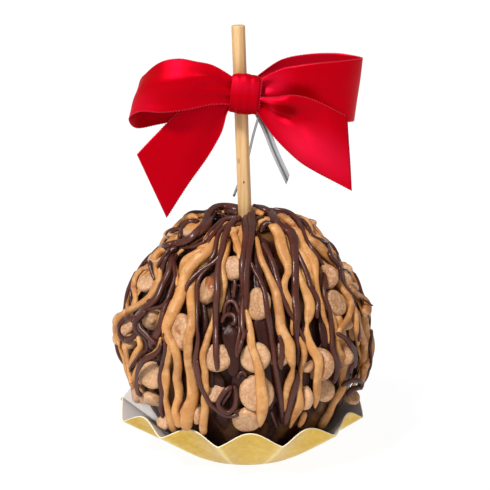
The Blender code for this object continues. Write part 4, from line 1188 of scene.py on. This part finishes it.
def strand_mesh(strand, cover, seed, wander, flatness):
    """Points of one strand: a flattened rope, with a groove along its broad stretches."""
    route, at, heights, radii, outward = strand
    flats = flatness * np.interp(radii, *FLATNESS)
    start = np.sqrt(np.clip(at / radii[len(STRAND_TIPS)], 0.0, 1.0))
    radii = np.maximum(radii * np.maximum(start, LEAST_START), LEAST_RADIUS)
    body = slice(BARE_ENDS, -BARE_ENDS)
    cover.add(route[body], heights[body], radii[body], flats[body])
    line = on_core(route, heights)
    side = unit_rows(np.cross(unit_rows(np.gradient(line, axis=0)), outward))
    out = np.cross(side, unit_rows(np.gradient(line, axis=0)))
    turn = around(STRAND_SIDES)
    twist = TWIST * wobble(TWIST_SCALE * at, seed, 9.0)[:, None] + seed
    ridge = 1 + RIDGE * np.cos(3 * turn + twist)
    across = np.cos(turn) * ridge
    up = np.sin(turn) * ridge * np.where(turn < np.pi, 1.0, UNDERSIDE) * flats[:, None]
    deep = GROOVE * np.clip((radii - GROOVE_FROM) / GROOVE_OVER, 0.0, 1.0)[:, None]
    off = (across - GROOVE_SHIFT * np.sin(twist)) / GROOVE_REACH
    up -= deep * np.exp(-(off**2)) * (turn < np.pi)
    shift = wander * wobble(SIDE_WANDER_SCALE * at, seed, 5.0)[:, None]
    sideways = side[:, None] * (radii[:, None] * across + shift)[..., None]
    raised = out[:, None] * (radii[:, None] * up)[..., None]
    return (line[:, None] + sideways + raised).reshape(-1, 3)


CROWN_LATITUDE = 83.0
LED_UP_FROM, LED_UP_TO = 64.0, 80.0
# How far a direction is turned from the camera before it counts as behind the outline.
AWAY = 0.17
WELL_AWAY = 2.2 * AWAY
SMALL_CHIP = 0.72
SLENDER_SIDE = 0.55
PULLED_BACK = 6.0
BACK_SPREAD = 42.0


def from_crown(strands):
    """The same strands, with those that start high on the apple led up to its stick."""
    made = []
    for width, point, turns in strands:
        azimuth, latitude = turns[0]
        if LED_UP_FROM <= latitude < LED_UP_TO:
            turns = ((azimuth, CROWN_LATITUDE), *turns)
        made.append((width, point, turns))
    return made


def turned_away(azimuth, latitude, least=AWAY):
    """Whether the camera can't see this place on the apple, even with drizzle on it."""
    view = np.array([0.0, -math.sin(CAMERA_TILT), math.cos(CAMERA_TILT)])
    return direction(azimuth, latitude) @ view < -least


def chips_behind(spots):
    """The chips that stay clear of the front's outline: smaller ones next to it."""
    made = []
    for azimuth, latitude, scale, tilt, spin in spots:
        if turned_away(azimuth, latitude):
            near = 1.0 if turned_away(azimuth, latitude, WELL_AWAY) else SMALL_CHIP
            made.append((azimuth, latitude, scale * near, tilt, spin))
    return made


def behind_outline(strands):
    """The same strands. At the sides the broad ones start lower, clear of the front's outline.

    Only a slender strand is led up to the crown there, pulled a little towards the back.
    """
    made = []
    for width, point, turns in strands:
        low = turns
        if abs(turns[0][0] - 180) > BACK_SPREAD:
            low = [turn for turn in turns if turned_away(*turn)]
            backwards = math.copysign(PULLED_BACK, 180 - turns[0][0])
            pulled = [(azimuth + backwards, latitude) for azimuth, latitude in turns]
            made.append((width * SLENDER_SIDE, point, pulled))
        if len(low) > 1:
            made.append((width, point, low))
    return made


def laid(strands):
    return strands, LAID_SLOPE, MOST_RAISED


def painted_side_shade(points):
    """Painted shade: how much darker the tone gets towards +X, the side turned from the key light."""
    return SIDE_SHADE_BY * np.clip((np.array(points)[:, 0] - SIDE_SHADE_FROM) / SIDE_SHADE_OVER, 0, 1)


def poured(ruled, groups, cover):
    """Each strand of a drizzle with its sideways wander, worked out as it is poured."""
    for index, strand in enumerate(ruled):
        yield ruled_strand(*strand, cover, SEED_STEP * index), SIDE_WANDER
    for traced, slope, most_raised in groups:
        for turns in traced:
            yield traced_strand(turns, cover, slope, most_raised), 0.0


def drizzle_piece(name, ruled, groups, cover, paint, flatness=1.0):
    """All strands of one drizzle, in the order they were poured, as one mesh.

    groups are strands through pixels of the photograph, with their slope and most_raised.
    """
    points, faces, tones_and_painted_light = [], [], []
    for index, (strand, wander) in enumerate(poured(ruled, groups, cover)):
        made = inside_cup(strand_mesh(strand, cover, SEED_STEP * index, wander, flatness))
        faces.extend(tube_faces(len(made) // STRAND_SIDES, STRAND_SIDES, len(points)))
        points.extend(made)
        # Tone at random, less painted shade towards +X.
        tones_and_painted_light.extend(0.5 + TONE_SPREAD * wobble(TONE_STEP * index, 2.0) - painted_side_shade(made))
    obj = add_piece(name, points, faces, [paint])
    set_attribute(obj, "tone", tones_and_painted_light)
    return obj


COAT_AROUND = 300
COAT_LATITUDES = 190
COAT_SPAN = (85.4, -74.0)
COAT_FLOW, COAT_FLOW_SCALES = 1.0, (9.0, 2.4)
COAT_LUMPS, COAT_LUMP_SCALES = 0.35, (21.0, 15.0)
COAT_BELOW = 0.7
COAT_FADE_FROM, COAT_FADE_OVER = -0.66, 0.2
COAT_TOP_ROWS = 6
HOLE_SPAN = (-0.3, 71.4)


def stick_axis():
    """The stick's lower end and its unit direction."""
    lean = np.array([-math.sin(STICK_LEAN), 0.0, math.cos(STICK_LEAN)])
    x_at_bottom = STICK_X_AT_CROWN + (CROWN_Z - STICK_BOTTOM_Z) * math.tan(STICK_LEAN)
    return np.array([x_at_bottom, 0.0, STICK_BOTTOM_Z]), lean


def coat_relief(units):
    """Long runs and small lumps in the coat, which fade out inside the cup."""
    x, y, z = units.T
    relief = -COAT_BELOW
    for height, (across, up) in ((COAT_FLOW, COAT_FLOW_SCALES), (COAT_LUMPS, COAT_LUMP_SCALES)):
        relief = relief + height * wobble(across * x, across * y, up * z)
    return relief * np.clip((z - COAT_FADE_FROM) / COAT_FADE_OVER, 0.0, 1.0)


def hole_ring(height):
    """A ring of the stick's hole at a height along the stick from its lower end."""
    bottom, along = stick_axis()
    side = unit_rows(np.cross([0.0, 1.0, 0.0], along))
    front = np.cross(side, along)
    turn = around(COAT_AROUND)[:, None]
    return bottom + along * height + HOLE_RADIUS * (side * np.sin(turn) + front * np.cos(turn))


def build_coat(paint):
    """The coated core, with a blind hole for the stick."""
    rings = [hole_ring(height) for height in HOLE_SPAN]
    for row, latitude in enumerate(np.linspace(*COAT_SPAN, COAT_LATITUDES)):
        units = direction(np.degrees(around(COAT_AROUND)), latitude)
        rings.append(on_core(units, coat_relief(units) * min(1.0, row / COAT_TOP_ROWS)))
    return add_piece("apple_coat", np.vstack(rings), tube_faces(len(rings), COAT_AROUND), [paint])


def build_chips(places, cover, paint):
    draw = random.Random(EXTRA_SEED)
    points, faces, tones_and_painted_light, glazes = [], [], [], []
    for unit, lift, facing, pose, glaze in places:
        made = chip_mesh(unit, lift, facing, pose, draw)
        faces.extend(tube_faces(len(CHIP_PROFILE), CHIP_AROUND, len(points)))
        points.extend(made)
        # A tone at random, less painted shade towards +X.
        tones_and_painted_light.extend(draw.uniform(*CHIP_TONES) - painted_side_shade(made))
        glazes.extend([glaze] * len(made))
        rays = made - np.array([0.0, 0.0, CORE_CENTRE_Z])
        units = unit_rows(rays)
        heights = np.linalg.norm(rays, axis=1) - core_distances(units)
        proud = heights > CHIP_PROUD
        tops = heights[proud] - CHIP_CONTACT_FLAT * CHIP_CONTACT
        cover.add(units[proud], tops, CHIP_CONTACT, CHIP_CONTACT_FLAT)
    obj = add_piece("apple_chips", points, faces, [paint])
    set_attribute(obj, "tone", tones_and_painted_light)
    set_attribute(obj, "glaze", glazes)
    return obj


LOW_FLAT, LAYER_FLAT = 0.45, 0.4


def build_apple():
    """The coat and its toppings, each laid on the ones before it."""
    draw = random.Random(DRAW_SEED)
    places = chip_places((*CHIPS_BESIDE, *chips_behind(back_chips(draw))))
    peanut_back = (*behind_outline(back_strands(*PEANUT_BACK, draw)), *PEANUT_BESIDE)
    chocolate_back = behind_outline(from_crown(back_strands(*CHOCOLATE_BACK, draw)))
    extra = random.Random(EXTRA_SEED)
    flows = (*FLOWS_FRONT, *back_strands(*FLOWS_BACK, extra))
    threads = (*behind_outline(from_crown(back_strands(*THREADS_BACK, extra))), *CHOCOLATE_BESIDE)
    chocolate = (*chocolate_back, *threads)
    front = laid(CHOCOLATE_FRONT)
    under = laid(PEANUT_UNDER)

    peanut, dark = peanut_paint(), flow_paint()
    cover = Cover()
    pieces = [
        build_coat(coat_paint()),
        drizzle_piece("apple_chocolate_flows", flows, [laid(POOL_SEEN)], cover, dark, LOW_FLAT),
        drizzle_piece("apple_peanut_layers", LAYERS_BESIDE, [under], cover, peanut, LAYER_FLAT),
        build_chips(places, cover, chip_paint()),
        drizzle_piece("apple_peanut_drizzle", peanut_back, [laid(PEANUT_FRONT), LOBES], cover, peanut),
        drizzle_piece("apple_chocolate_drizzle", chocolate, [front, CURLS], cover, chocolate_paint()),
    ]
    for piece in pieces:
        place(piece, "coated_apple", "apple")


# ------------------------------------------------------------------ stick and cup

STICK_SIDES = 48
STICK_RINGS = 90
STICK_BEVEL = 0.35
STICK_BEVEL_STEPS = (0.0, 0.06, 0.18, STICK_BEVEL)
# Two kinds of unevenness: height, and how fast it changes around and along the stick.
STICK_BENDS = (0.05, 1.0, 0.045)
STICK_FLATS = (0.03, 3.0, 0.01)


def build_stick():
    """A birch dowel: not quite even, with its end edges softened."""
    bottom, along = stick_axis()
    side = unit_rows(np.cross(along, [0.0, 1.0, 0.0]))
    front = np.cross(along, side)
    ends = np.array(STICK_BEVEL_STEPS)
    middle = np.linspace(STICK_BEVEL, STICK_LENGTH - STICK_BEVEL, STICK_RINGS)[1:-1]
    heights = np.concatenate([ends, middle, STICK_LENGTH - ends[::-1]])[:, None]
    rim = np.clip(np.minimum(heights, STICK_LENGTH - heights), 0.0, STICK_BEVEL)
    radii = STICK_RADIUS - STICK_BEVEL + np.sqrt(STICK_BEVEL**2 - (STICK_BEVEL - rim) ** 2)
    cos, sin = np.cos(around(STICK_SIDES)), np.sin(around(STICK_SIDES))
    high, fast, slow = STICK_BENDS
    radii = radii + high * wobble(slow * heights, fast * cos, fast * sin)
    high, fast, slow = STICK_FLATS
    radii = radii + high * wobble(fast * cos, fast * sin, slow * heights)
    out = side * cos[:, None] + front * sin[:, None]
    points = bottom + along * heights[..., None] + out * radii[..., None]
    faces = tube_faces(len(heights), STICK_SIDES)
    stick = add_piece("stick_wood", points.reshape(-1, 3), faces, [birch_paint()])
    place(stick, "birch_stick", "stick")


CUP_AROUND = 30
CUP_RINGS = 14
CUP_CREST = 1.3
CUP_CREASE_HIGHLIGHT_REACH = 0.16
CUP_SHARP = math.radians(38.0)
# How uneven the hand-set wall is: height, and how fast it changes around.
CUP_RADIUS_UNEVEN = (0.25, 2.5)
CUP_HEIGHT_UNEVEN = (0.3, 1.5)


def cup_crests(turns):
    """1 at the crest of each flute and 0 in the crease between two."""
    return np.abs(np.cos(CUP_FLUTES * (turns - CUP_TURN) / 2))


def cup_ring(turns, share, inner):
    """A ring of the cup's wall: share 0 is at the base's edge and share 1 at the rim."""
    cos, sin = np.cos(turns), np.sin(turns)
    wave = (2 * cup_crests(turns) ** CUP_CREST - 1) * share
    radius = CUP_BASE_RADIUS + (CUP_RIM_RADIUS - CUP_BASE_RADIUS) * share - CUP_RIM_WAVE * wave
    radius += CUP_SPREAD * share * np.maximum(0.0, np.cos(turns - CUP_SPREAD_AT)) ** 3
    uneven, fast = CUP_RADIUS_UNEVEN
    radius += uneven * share * wobble(fast * cos, fast * sin, share)
    height = CUP_RIM_Z * share**CUP_WALL_CURVE + CUP_RIM_Z_WAVE * wave
    uneven, fast = CUP_HEIGHT_UNEVEN
    height += uneven * share * wobble(fast * cos, fast * sin, 4.0)
    if inner:
        radius -= CUP_WALL_INWARDS * share
        height += CUP_WALL
    return np.column_stack([radius * sin, -radius * cos, height])


def build_cup():
    """A foil cup: gold outside, silver-grey inside, with the card's pale cut edge at the rim."""
    turns = CUP_TURN + around(CUP_FLUTES * CUP_AROUND)
    shares = np.arange(CUP_RINGS + 1) / CUP_RINGS
    rings = [cup_ring(turns, share, False) for share in shares]
    rings += [cup_ring(turns, share, True) for share in shares[::-1]]
    slots = np.repeat([0] * CUP_RINGS + [1] + [2] * CUP_RINGS, len(turns)).tolist() + [0, 2]
    faces = tube_faces(len(rings), len(turns))
    paints = [gold_paint(), card_paint(), silver_paint()]
    cup = add_piece("cup_foil", np.vstack(rings), faces, paints, slots)
    # A painted highlight along each crease, for the gold paint.
    crease_highlights = np.exp(-((cup_crests(turns) / CUP_CREASE_HIGHLIGHT_REACH) ** 2))
    set_attribute(cup, "crease", np.tile(crease_highlights, len(rings)))
    cup.data.set_sharp_from_angle(angle=CUP_SHARP)
    place(cup, "gold_foil", "cup")


# ------------------------------------------------------------------ bow and tie

RIBBON_WALL = 0.24
RIBBON_STEPS = 12
RIBBON_ACROSS = 36
PLEAT_REACH = 9.0
PLEAT_DEPTH = 0.85
PLEAT_START = 1.2
FINE_PLEATS = (0.5, 14.0)
PICOT_PITCH = 0.95
PICOT_RADIUS = 0.18
PICOT_TALL = 1.3
PICOT_SIDES, PICOT_RINGS = 6, 4


def soft_spots(part, shares, spots):
    """The sum of soft spots, each given as its place along and across, its reaches and its height."""
    made = np.zeros((len(part), len(shares)))
    for at, across, reach, spread, height in spots:
        far = ((part[:, None] - at) / reach) ** 2 + ((shares[None] - across) / spread) ** 2
        made += height * np.exp(-far)
    return made


def ribbon_grid(pairs, folds, outward, pleats, knotted_ends):
    """Points over a ribbon between its edges, with soft folds, and pleats where the knot holds it."""
    upper, lower = [spline(edge, RIBBON_STEPS) for edge in zip(*pairs)]
    shares = np.linspace(0, 1, RIBBON_ACROSS + 1)
    grid = upper[:, None] + (lower - upper)[:, None] * shares[None, :, None]
    run = lengths_along(grid[:, RIBBON_ACROSS // 2])
    normals = unit_rows(np.cross(np.gradient(grid, axis=0), np.gradient(grid, axis=1))) * outward
    from_knot = run if knotted_ends == 1 else np.minimum(run, run[-1] - run)
    held = np.exp(-((from_knot / PLEAT_REACH) ** 2))
    fine, fast = FINE_PLEATS
    waves = np.sin(2 * np.pi * pleats * shares + PLEAT_START) + fine * np.sin(fast * shares)
    lift = PLEAT_DEPTH * held[:, None] * waves + soft_spots(run / run[-1], shares, folds)
    return grid + normals * lift[:, :, None]


def from_edges(run):
    """How far each place along a row lies from the nearer end of the row."""
    return np.minimum(run, run[-1] - run)


def picot_beads(grid):
    """Small loops of thread that stand along both long edges of a ribbon."""
    angle = np.pi * (np.arange(PICOT_RINGS) + 0.6) / (PICOT_RINGS + 0.2)
    high, wide = PICOT_TALL * np.cos(angle)[:, None, None], np.sin(angle)[:, None, None]
    cos, sin = np.cos(around(PICOT_SIDES))[:, None], np.sin(around(PICOT_SIDES))[:, None]
    points, faces = [], []
    for edge, next_in in ((0, 1), (-1, -2)):
        line = grid[:, edge]
        run = lengths_along(line)
        places = np.arange(PICOT_PITCH / 2, run[-1], PICOT_PITCH)
        for s, centre in zip(places, resampled(places, run, line)):
            row = min(int(np.searchsorted(run, s)), len(line) - 1)
            outward = unit_rows(line[row] - grid[row, next_in])
            along = unit_rows(line[row] - line[row - 1])
            normal = unit_rows(np.cross(outward, along))
            bead = wide * (cos * along + sin * normal) + high * outward
            faces.extend(tube_faces(PICOT_RINGS, PICOT_SIDES, len(points)))
            points.extend((centre + PICOT_RADIUS * bead).reshape(-1, 3))
    return points, faces


def ribbon_piece(node, grid, edge, painted_light_and_shade, edging_grid, paints, closed=False):
    """A thin satin sheet and its picot edges, which stand for a node together."""
    points, faces = sheet_mesh(grid, RIBBON_WALL, closed)
    ribbon = add_piece(node + "_ribbon", points, faces, paints[:1])
    set_attribute(ribbon, "edge", np.tile(edge.ravel(), 2))
    # The satin's painted highlight and painted shade.
    set_attribute(ribbon, "painted_light_and_shade", np.tile(painted_light_and_shade.ravel(), 2))
    edging = add_piece(node + "_picot", *picot_beads(edging_grid), paints[1:])
    for piece in (ribbon, edging):
        place(piece, "red_satin", node)
    return ribbon, edging


# The pieces that hang from the knot: node, edges, folds, painted highlight and shade, which way the
# folds stand, pleats, how many ends the knot holds, flat size in metres, how it is held, and its area
# where cut slanting.
HANGING = (
    ("bow_loop_left", LOOP_LEFT, FOLDS_LEFT, PAINTED_LIGHT_LEFT, 1, 1.6, 2, (0.022, 0.088), "gathered", None),
    ("bow_loop_right", LOOP_RIGHT, FOLDS_RIGHT, PAINTED_LIGHT_RIGHT, -1, 1.5, 2, (0.022, 0.088), "gathered",
     None),
    ("bow_tail_left", TAIL_LEFT, FOLDS_TAIL_LEFT, PAINTED_LIGHT_TAIL_LEFT, 1, 1.2, 1, (0.022, 0.052), "hung",
     0.00095),
    ("bow_tail_right", TAIL_RIGHT, FOLDS_TAIL_RIGHT, PAINTED_LIGHT_TAIL_RIGHT, -1, 1.2, 1, (0.024, 0.046),
     "hung", 0.00082),
)


def build_hanging(node, pairs, folds, painted_light_and_shade, outward, pleats, ends, flat, held, area, paints):
    """One loop or tail of the bow."""
    grid = ribbon_grid(pairs, folds, outward, pleats, ends)
    rows, columns, _ = grid.shape
    edge = np.array([from_edges(lengths_along(row)) for row in grid])
    # Soft spots of painted highlight and painted shade.
    tones_and_painted_light = soft_spots(np.linspace(0, 1, rows), np.linspace(0, 1, columns), painted_light_and_shade)
    ribbon, edging = ribbon_piece(node, grid, edge, tones_and_painted_light, grid[2:-1], paints)


# The wrap's section from its raw edge inwards: place across the knot, and depth under its face.
WRAP_SECTION = (
    (5.5, 0.80), (3.0, 0.84), (0.0, 0.86), (-3.0, 0.84), (-4.3, 0.72), (-4.75, 0.42), (-4.4, 0.12),
    (-3.2, 0.0), (-1.0, -0.12), (1.0, -0.12), (3.2, 0.0), (4.3, 0.1), (4.72, 0.3), (4.4, 0.46),
    (3.2, 0.46),
)
WRAP_STEPS = 4
WRAP_AROUND = 72
WRAP_NARROWS = 0.05
# Its creases: uneven ones (height, how fast across and around), then even ones that slant.
WRAP_UNEVEN = (0.16, 0.9, 1.2)
WRAP_CREASES = (0.10, 2.1, 1.6)


def build_knot(paints):
    """The ribbon's centre wrap: folded in three, with its raw edge showing at the right."""
    x, depth = spline(WRAP_SECTION, WRAP_STEPS).T
    turn = around(WRAP_AROUND)[:, None]
    cos, sin = np.cos(turn), np.sin(turn)
    high, across, about_it = WRAP_UNEVEN
    crease = high * wobble(across * x, about_it * cos, about_it * sin)
    high, across, about_it = WRAP_CREASES
    crease += high * np.sin(across * x + about_it * sin)
    full = 1.0 - WRAP_NARROWS * (x / KNOT_HALF[0]) ** 2
    y = (KNOT_HALF[1] * full - depth + crease) * cos
    z = (KNOT_HALF[2] * full - depth + crease) * sin
    level, slope = math.cos(KNOT_TILT), math.sin(KNOT_TILT)
    grid = np.stack([x * level + z * slope, y, z * level - x * slope], axis=-1) + KNOT_CENTRE
    run = lengths_along(grid[0])
    edge = np.tile(from_edges(run), WRAP_AROUND)
    # Soft spots of painted highlight and painted shade on the wrap.
    tones_and_painted_light = soft_spots(np.arange(WRAP_AROUND) / WRAP_AROUND, run / run[-1], PAINTED_LIGHT_KNOT)
    knot, edging = ribbon_piece("bow_knot", grid, edge, tones_and_painted_light, grid[:, ::-1], paints, closed=True)


def build_bow():
    paints = [satin_paint(), picot_paint()]
    build_knot(paints)
    for ribbon in HANGING:
        build_hanging(*ribbon, paints)


TIE_AROUND = 40
TIE_COLUMNS = 16
TIE_EDGE_WALL = 0.34
TIE_WIRE_WALL = 0.55
TIE_WIRE_REACH = 0.22
TIE_STEPS = 10
TIE_SLANT_STEPS = 7
TIE_FRONT_SLANT, TIE_BACK_SLANT = -1.6, 0.6


def tie_grid(route, across, slant=0.0):
    """Points over a straight-sided stretch of the tie, with a slanted end."""
    line = spline(route, TIE_STEPS)
    half = np.array(across) / np.linalg.norm(across) * TIE_WIDTH / 2
    shares = np.linspace(-1, 1, TIE_COLUMNS + 1)[:, None]
    to_end = np.arange(len(line))[::-1]
    near_end = np.clip(1 - to_end / TIE_SLANT_STEPS, 0, 1)[:, None, None] ** 2
    end = unit_rows(line[-1] - line[-2])
    return line[:, None] + half * shares + near_end * slant * shares * end


def tie_loop():
    """Points over the turn of the tie about the stick."""
    bottom, along = stick_axis()
    x = bottom[0] + (TIE_RING_Z - bottom[2]) * along[0] / along[2]
    turn = around(TIE_AROUND)[:, None]
    z = TIE_RING_Z + np.linspace(-1, 1, TIE_COLUMNS + 1) * TIE_WIDTH / 2
    ring = (x + TIE_RING_RADIUS * np.sin(turn), -TIE_RING_RADIUS * np.cos(turn), z)
    return np.stack(np.broadcast_arrays(*ring), axis=-1)


def build_tie():
    """A silver twist tie: a turn about the stick, a short twist beside it and two loose ends."""
    across = np.linspace(-1, 1, TIE_COLUMNS + 1)
    walls = TIE_EDGE_WALL + TIE_WIRE_WALL * np.exp(-((across / TIE_WIRE_REACH) ** 2))
    grids = (
        tie_loop(),
        tie_grid(TIE_TWIST, TIE_TWIST_ACROSS),
        tie_grid(TIE_END_FRONT, TIE_FRONT_ACROSS, TIE_FRONT_SLANT),
        tie_grid(TIE_END_BACK, TIE_BACK_ACROSS, TIE_BACK_SLANT),
    )
    points, faces = [], []
    for index, grid in enumerate(grids):
        made, made_faces = sheet_mesh(grid, walls, closed=index == 0)
        faces.extend([len(points) + i for i in face] for face in made_faces)
        points.extend(made)
    tie = add_piece("tie_strip", points, faces, [tie_paint()])
    set_attribute(tie, "across", np.tile(across, len(points) // len(across)))
    place(tie, "silver_tie", "tie")


# ------------------------------------------------------------------ floor, light and camera

FLOOR_REACH, FLOOR_SIDES, FLOOR_Z = 6000.0, 64, -0.2
ROOM_LIGHT = 0.38
# Suns: name, azimuth about the object with 0 in front, height, strength, and spread in degrees.
SUNS = (("key", -36, 50, 3.2, 12), ("fill", 40, 30, 0.15, 30))


def add_camera():
    camera = bpy.data.cameras.new("camera")
    camera.sensor_width = CAMERA_SENSOR
    camera.lens = CAMERA_LENS
    camera.shift_x = CAMERA_SHIFT
    camera.clip_start = 0.01
    obj = bpy.data.objects.new("camera", camera)
    obj.location = CAMERA_AT
    obj.rotation_euler = (CAMERA_TILT, 0.0, 0.0)
    bpy.context.scene.collection.objects.link(obj)
    bpy.context.scene.camera = obj


def add_floor():
    turn = around(FLOOR_SIDES)
    level = np.full(FLOOR_SIDES, FLOOR_Z)
    points = np.column_stack([FLOOR_REACH * np.cos(turn), FLOOR_REACH * np.sin(turn), level])
    floor = add_piece("floor", points, [list(range(FLOOR_SIDES))], [floor_paint()])


def add_sun(name, azimuth, height, strength, spread):
    light = bpy.data.lights.new(name, "SUN")
    light.energy = strength
    light.angle = math.radians(spread)
    obj = bpy.data.objects.new(name, light)
    obj.rotation_euler = Vector(-direction(azimuth, height)).to_track_quat("-Z", "Y").to_euler()
    bpy.context.scene.collection.objects.link(obj)


def add_light():
    """A white room, a large soft key above and to the left, and a low fill from the right."""
    world = bpy.data.worlds.new("white_room")
    world.use_nodes = True
    background = world.node_tree.nodes["Background"]
    background.inputs["Color"].default_value = WHITE
    background.inputs["Strength"].default_value = ROOM_LIGHT
    bpy.context.scene.world = world
    for sun in SUNS:
        add_sun(*sun)
    view = bpy.context.scene.view_settings
    view.view_transform = "Standard"
    view.look = "None"


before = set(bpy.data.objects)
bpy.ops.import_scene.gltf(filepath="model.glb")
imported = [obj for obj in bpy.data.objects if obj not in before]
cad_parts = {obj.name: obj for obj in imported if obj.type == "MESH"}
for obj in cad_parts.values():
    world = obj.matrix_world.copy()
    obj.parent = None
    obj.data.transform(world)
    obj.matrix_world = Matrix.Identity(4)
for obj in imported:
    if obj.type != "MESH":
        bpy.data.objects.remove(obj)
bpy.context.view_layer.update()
add_camera()
build_apple()
build_stick()
build_cup()
build_bow()
build_tie()
add_floor()
add_light()
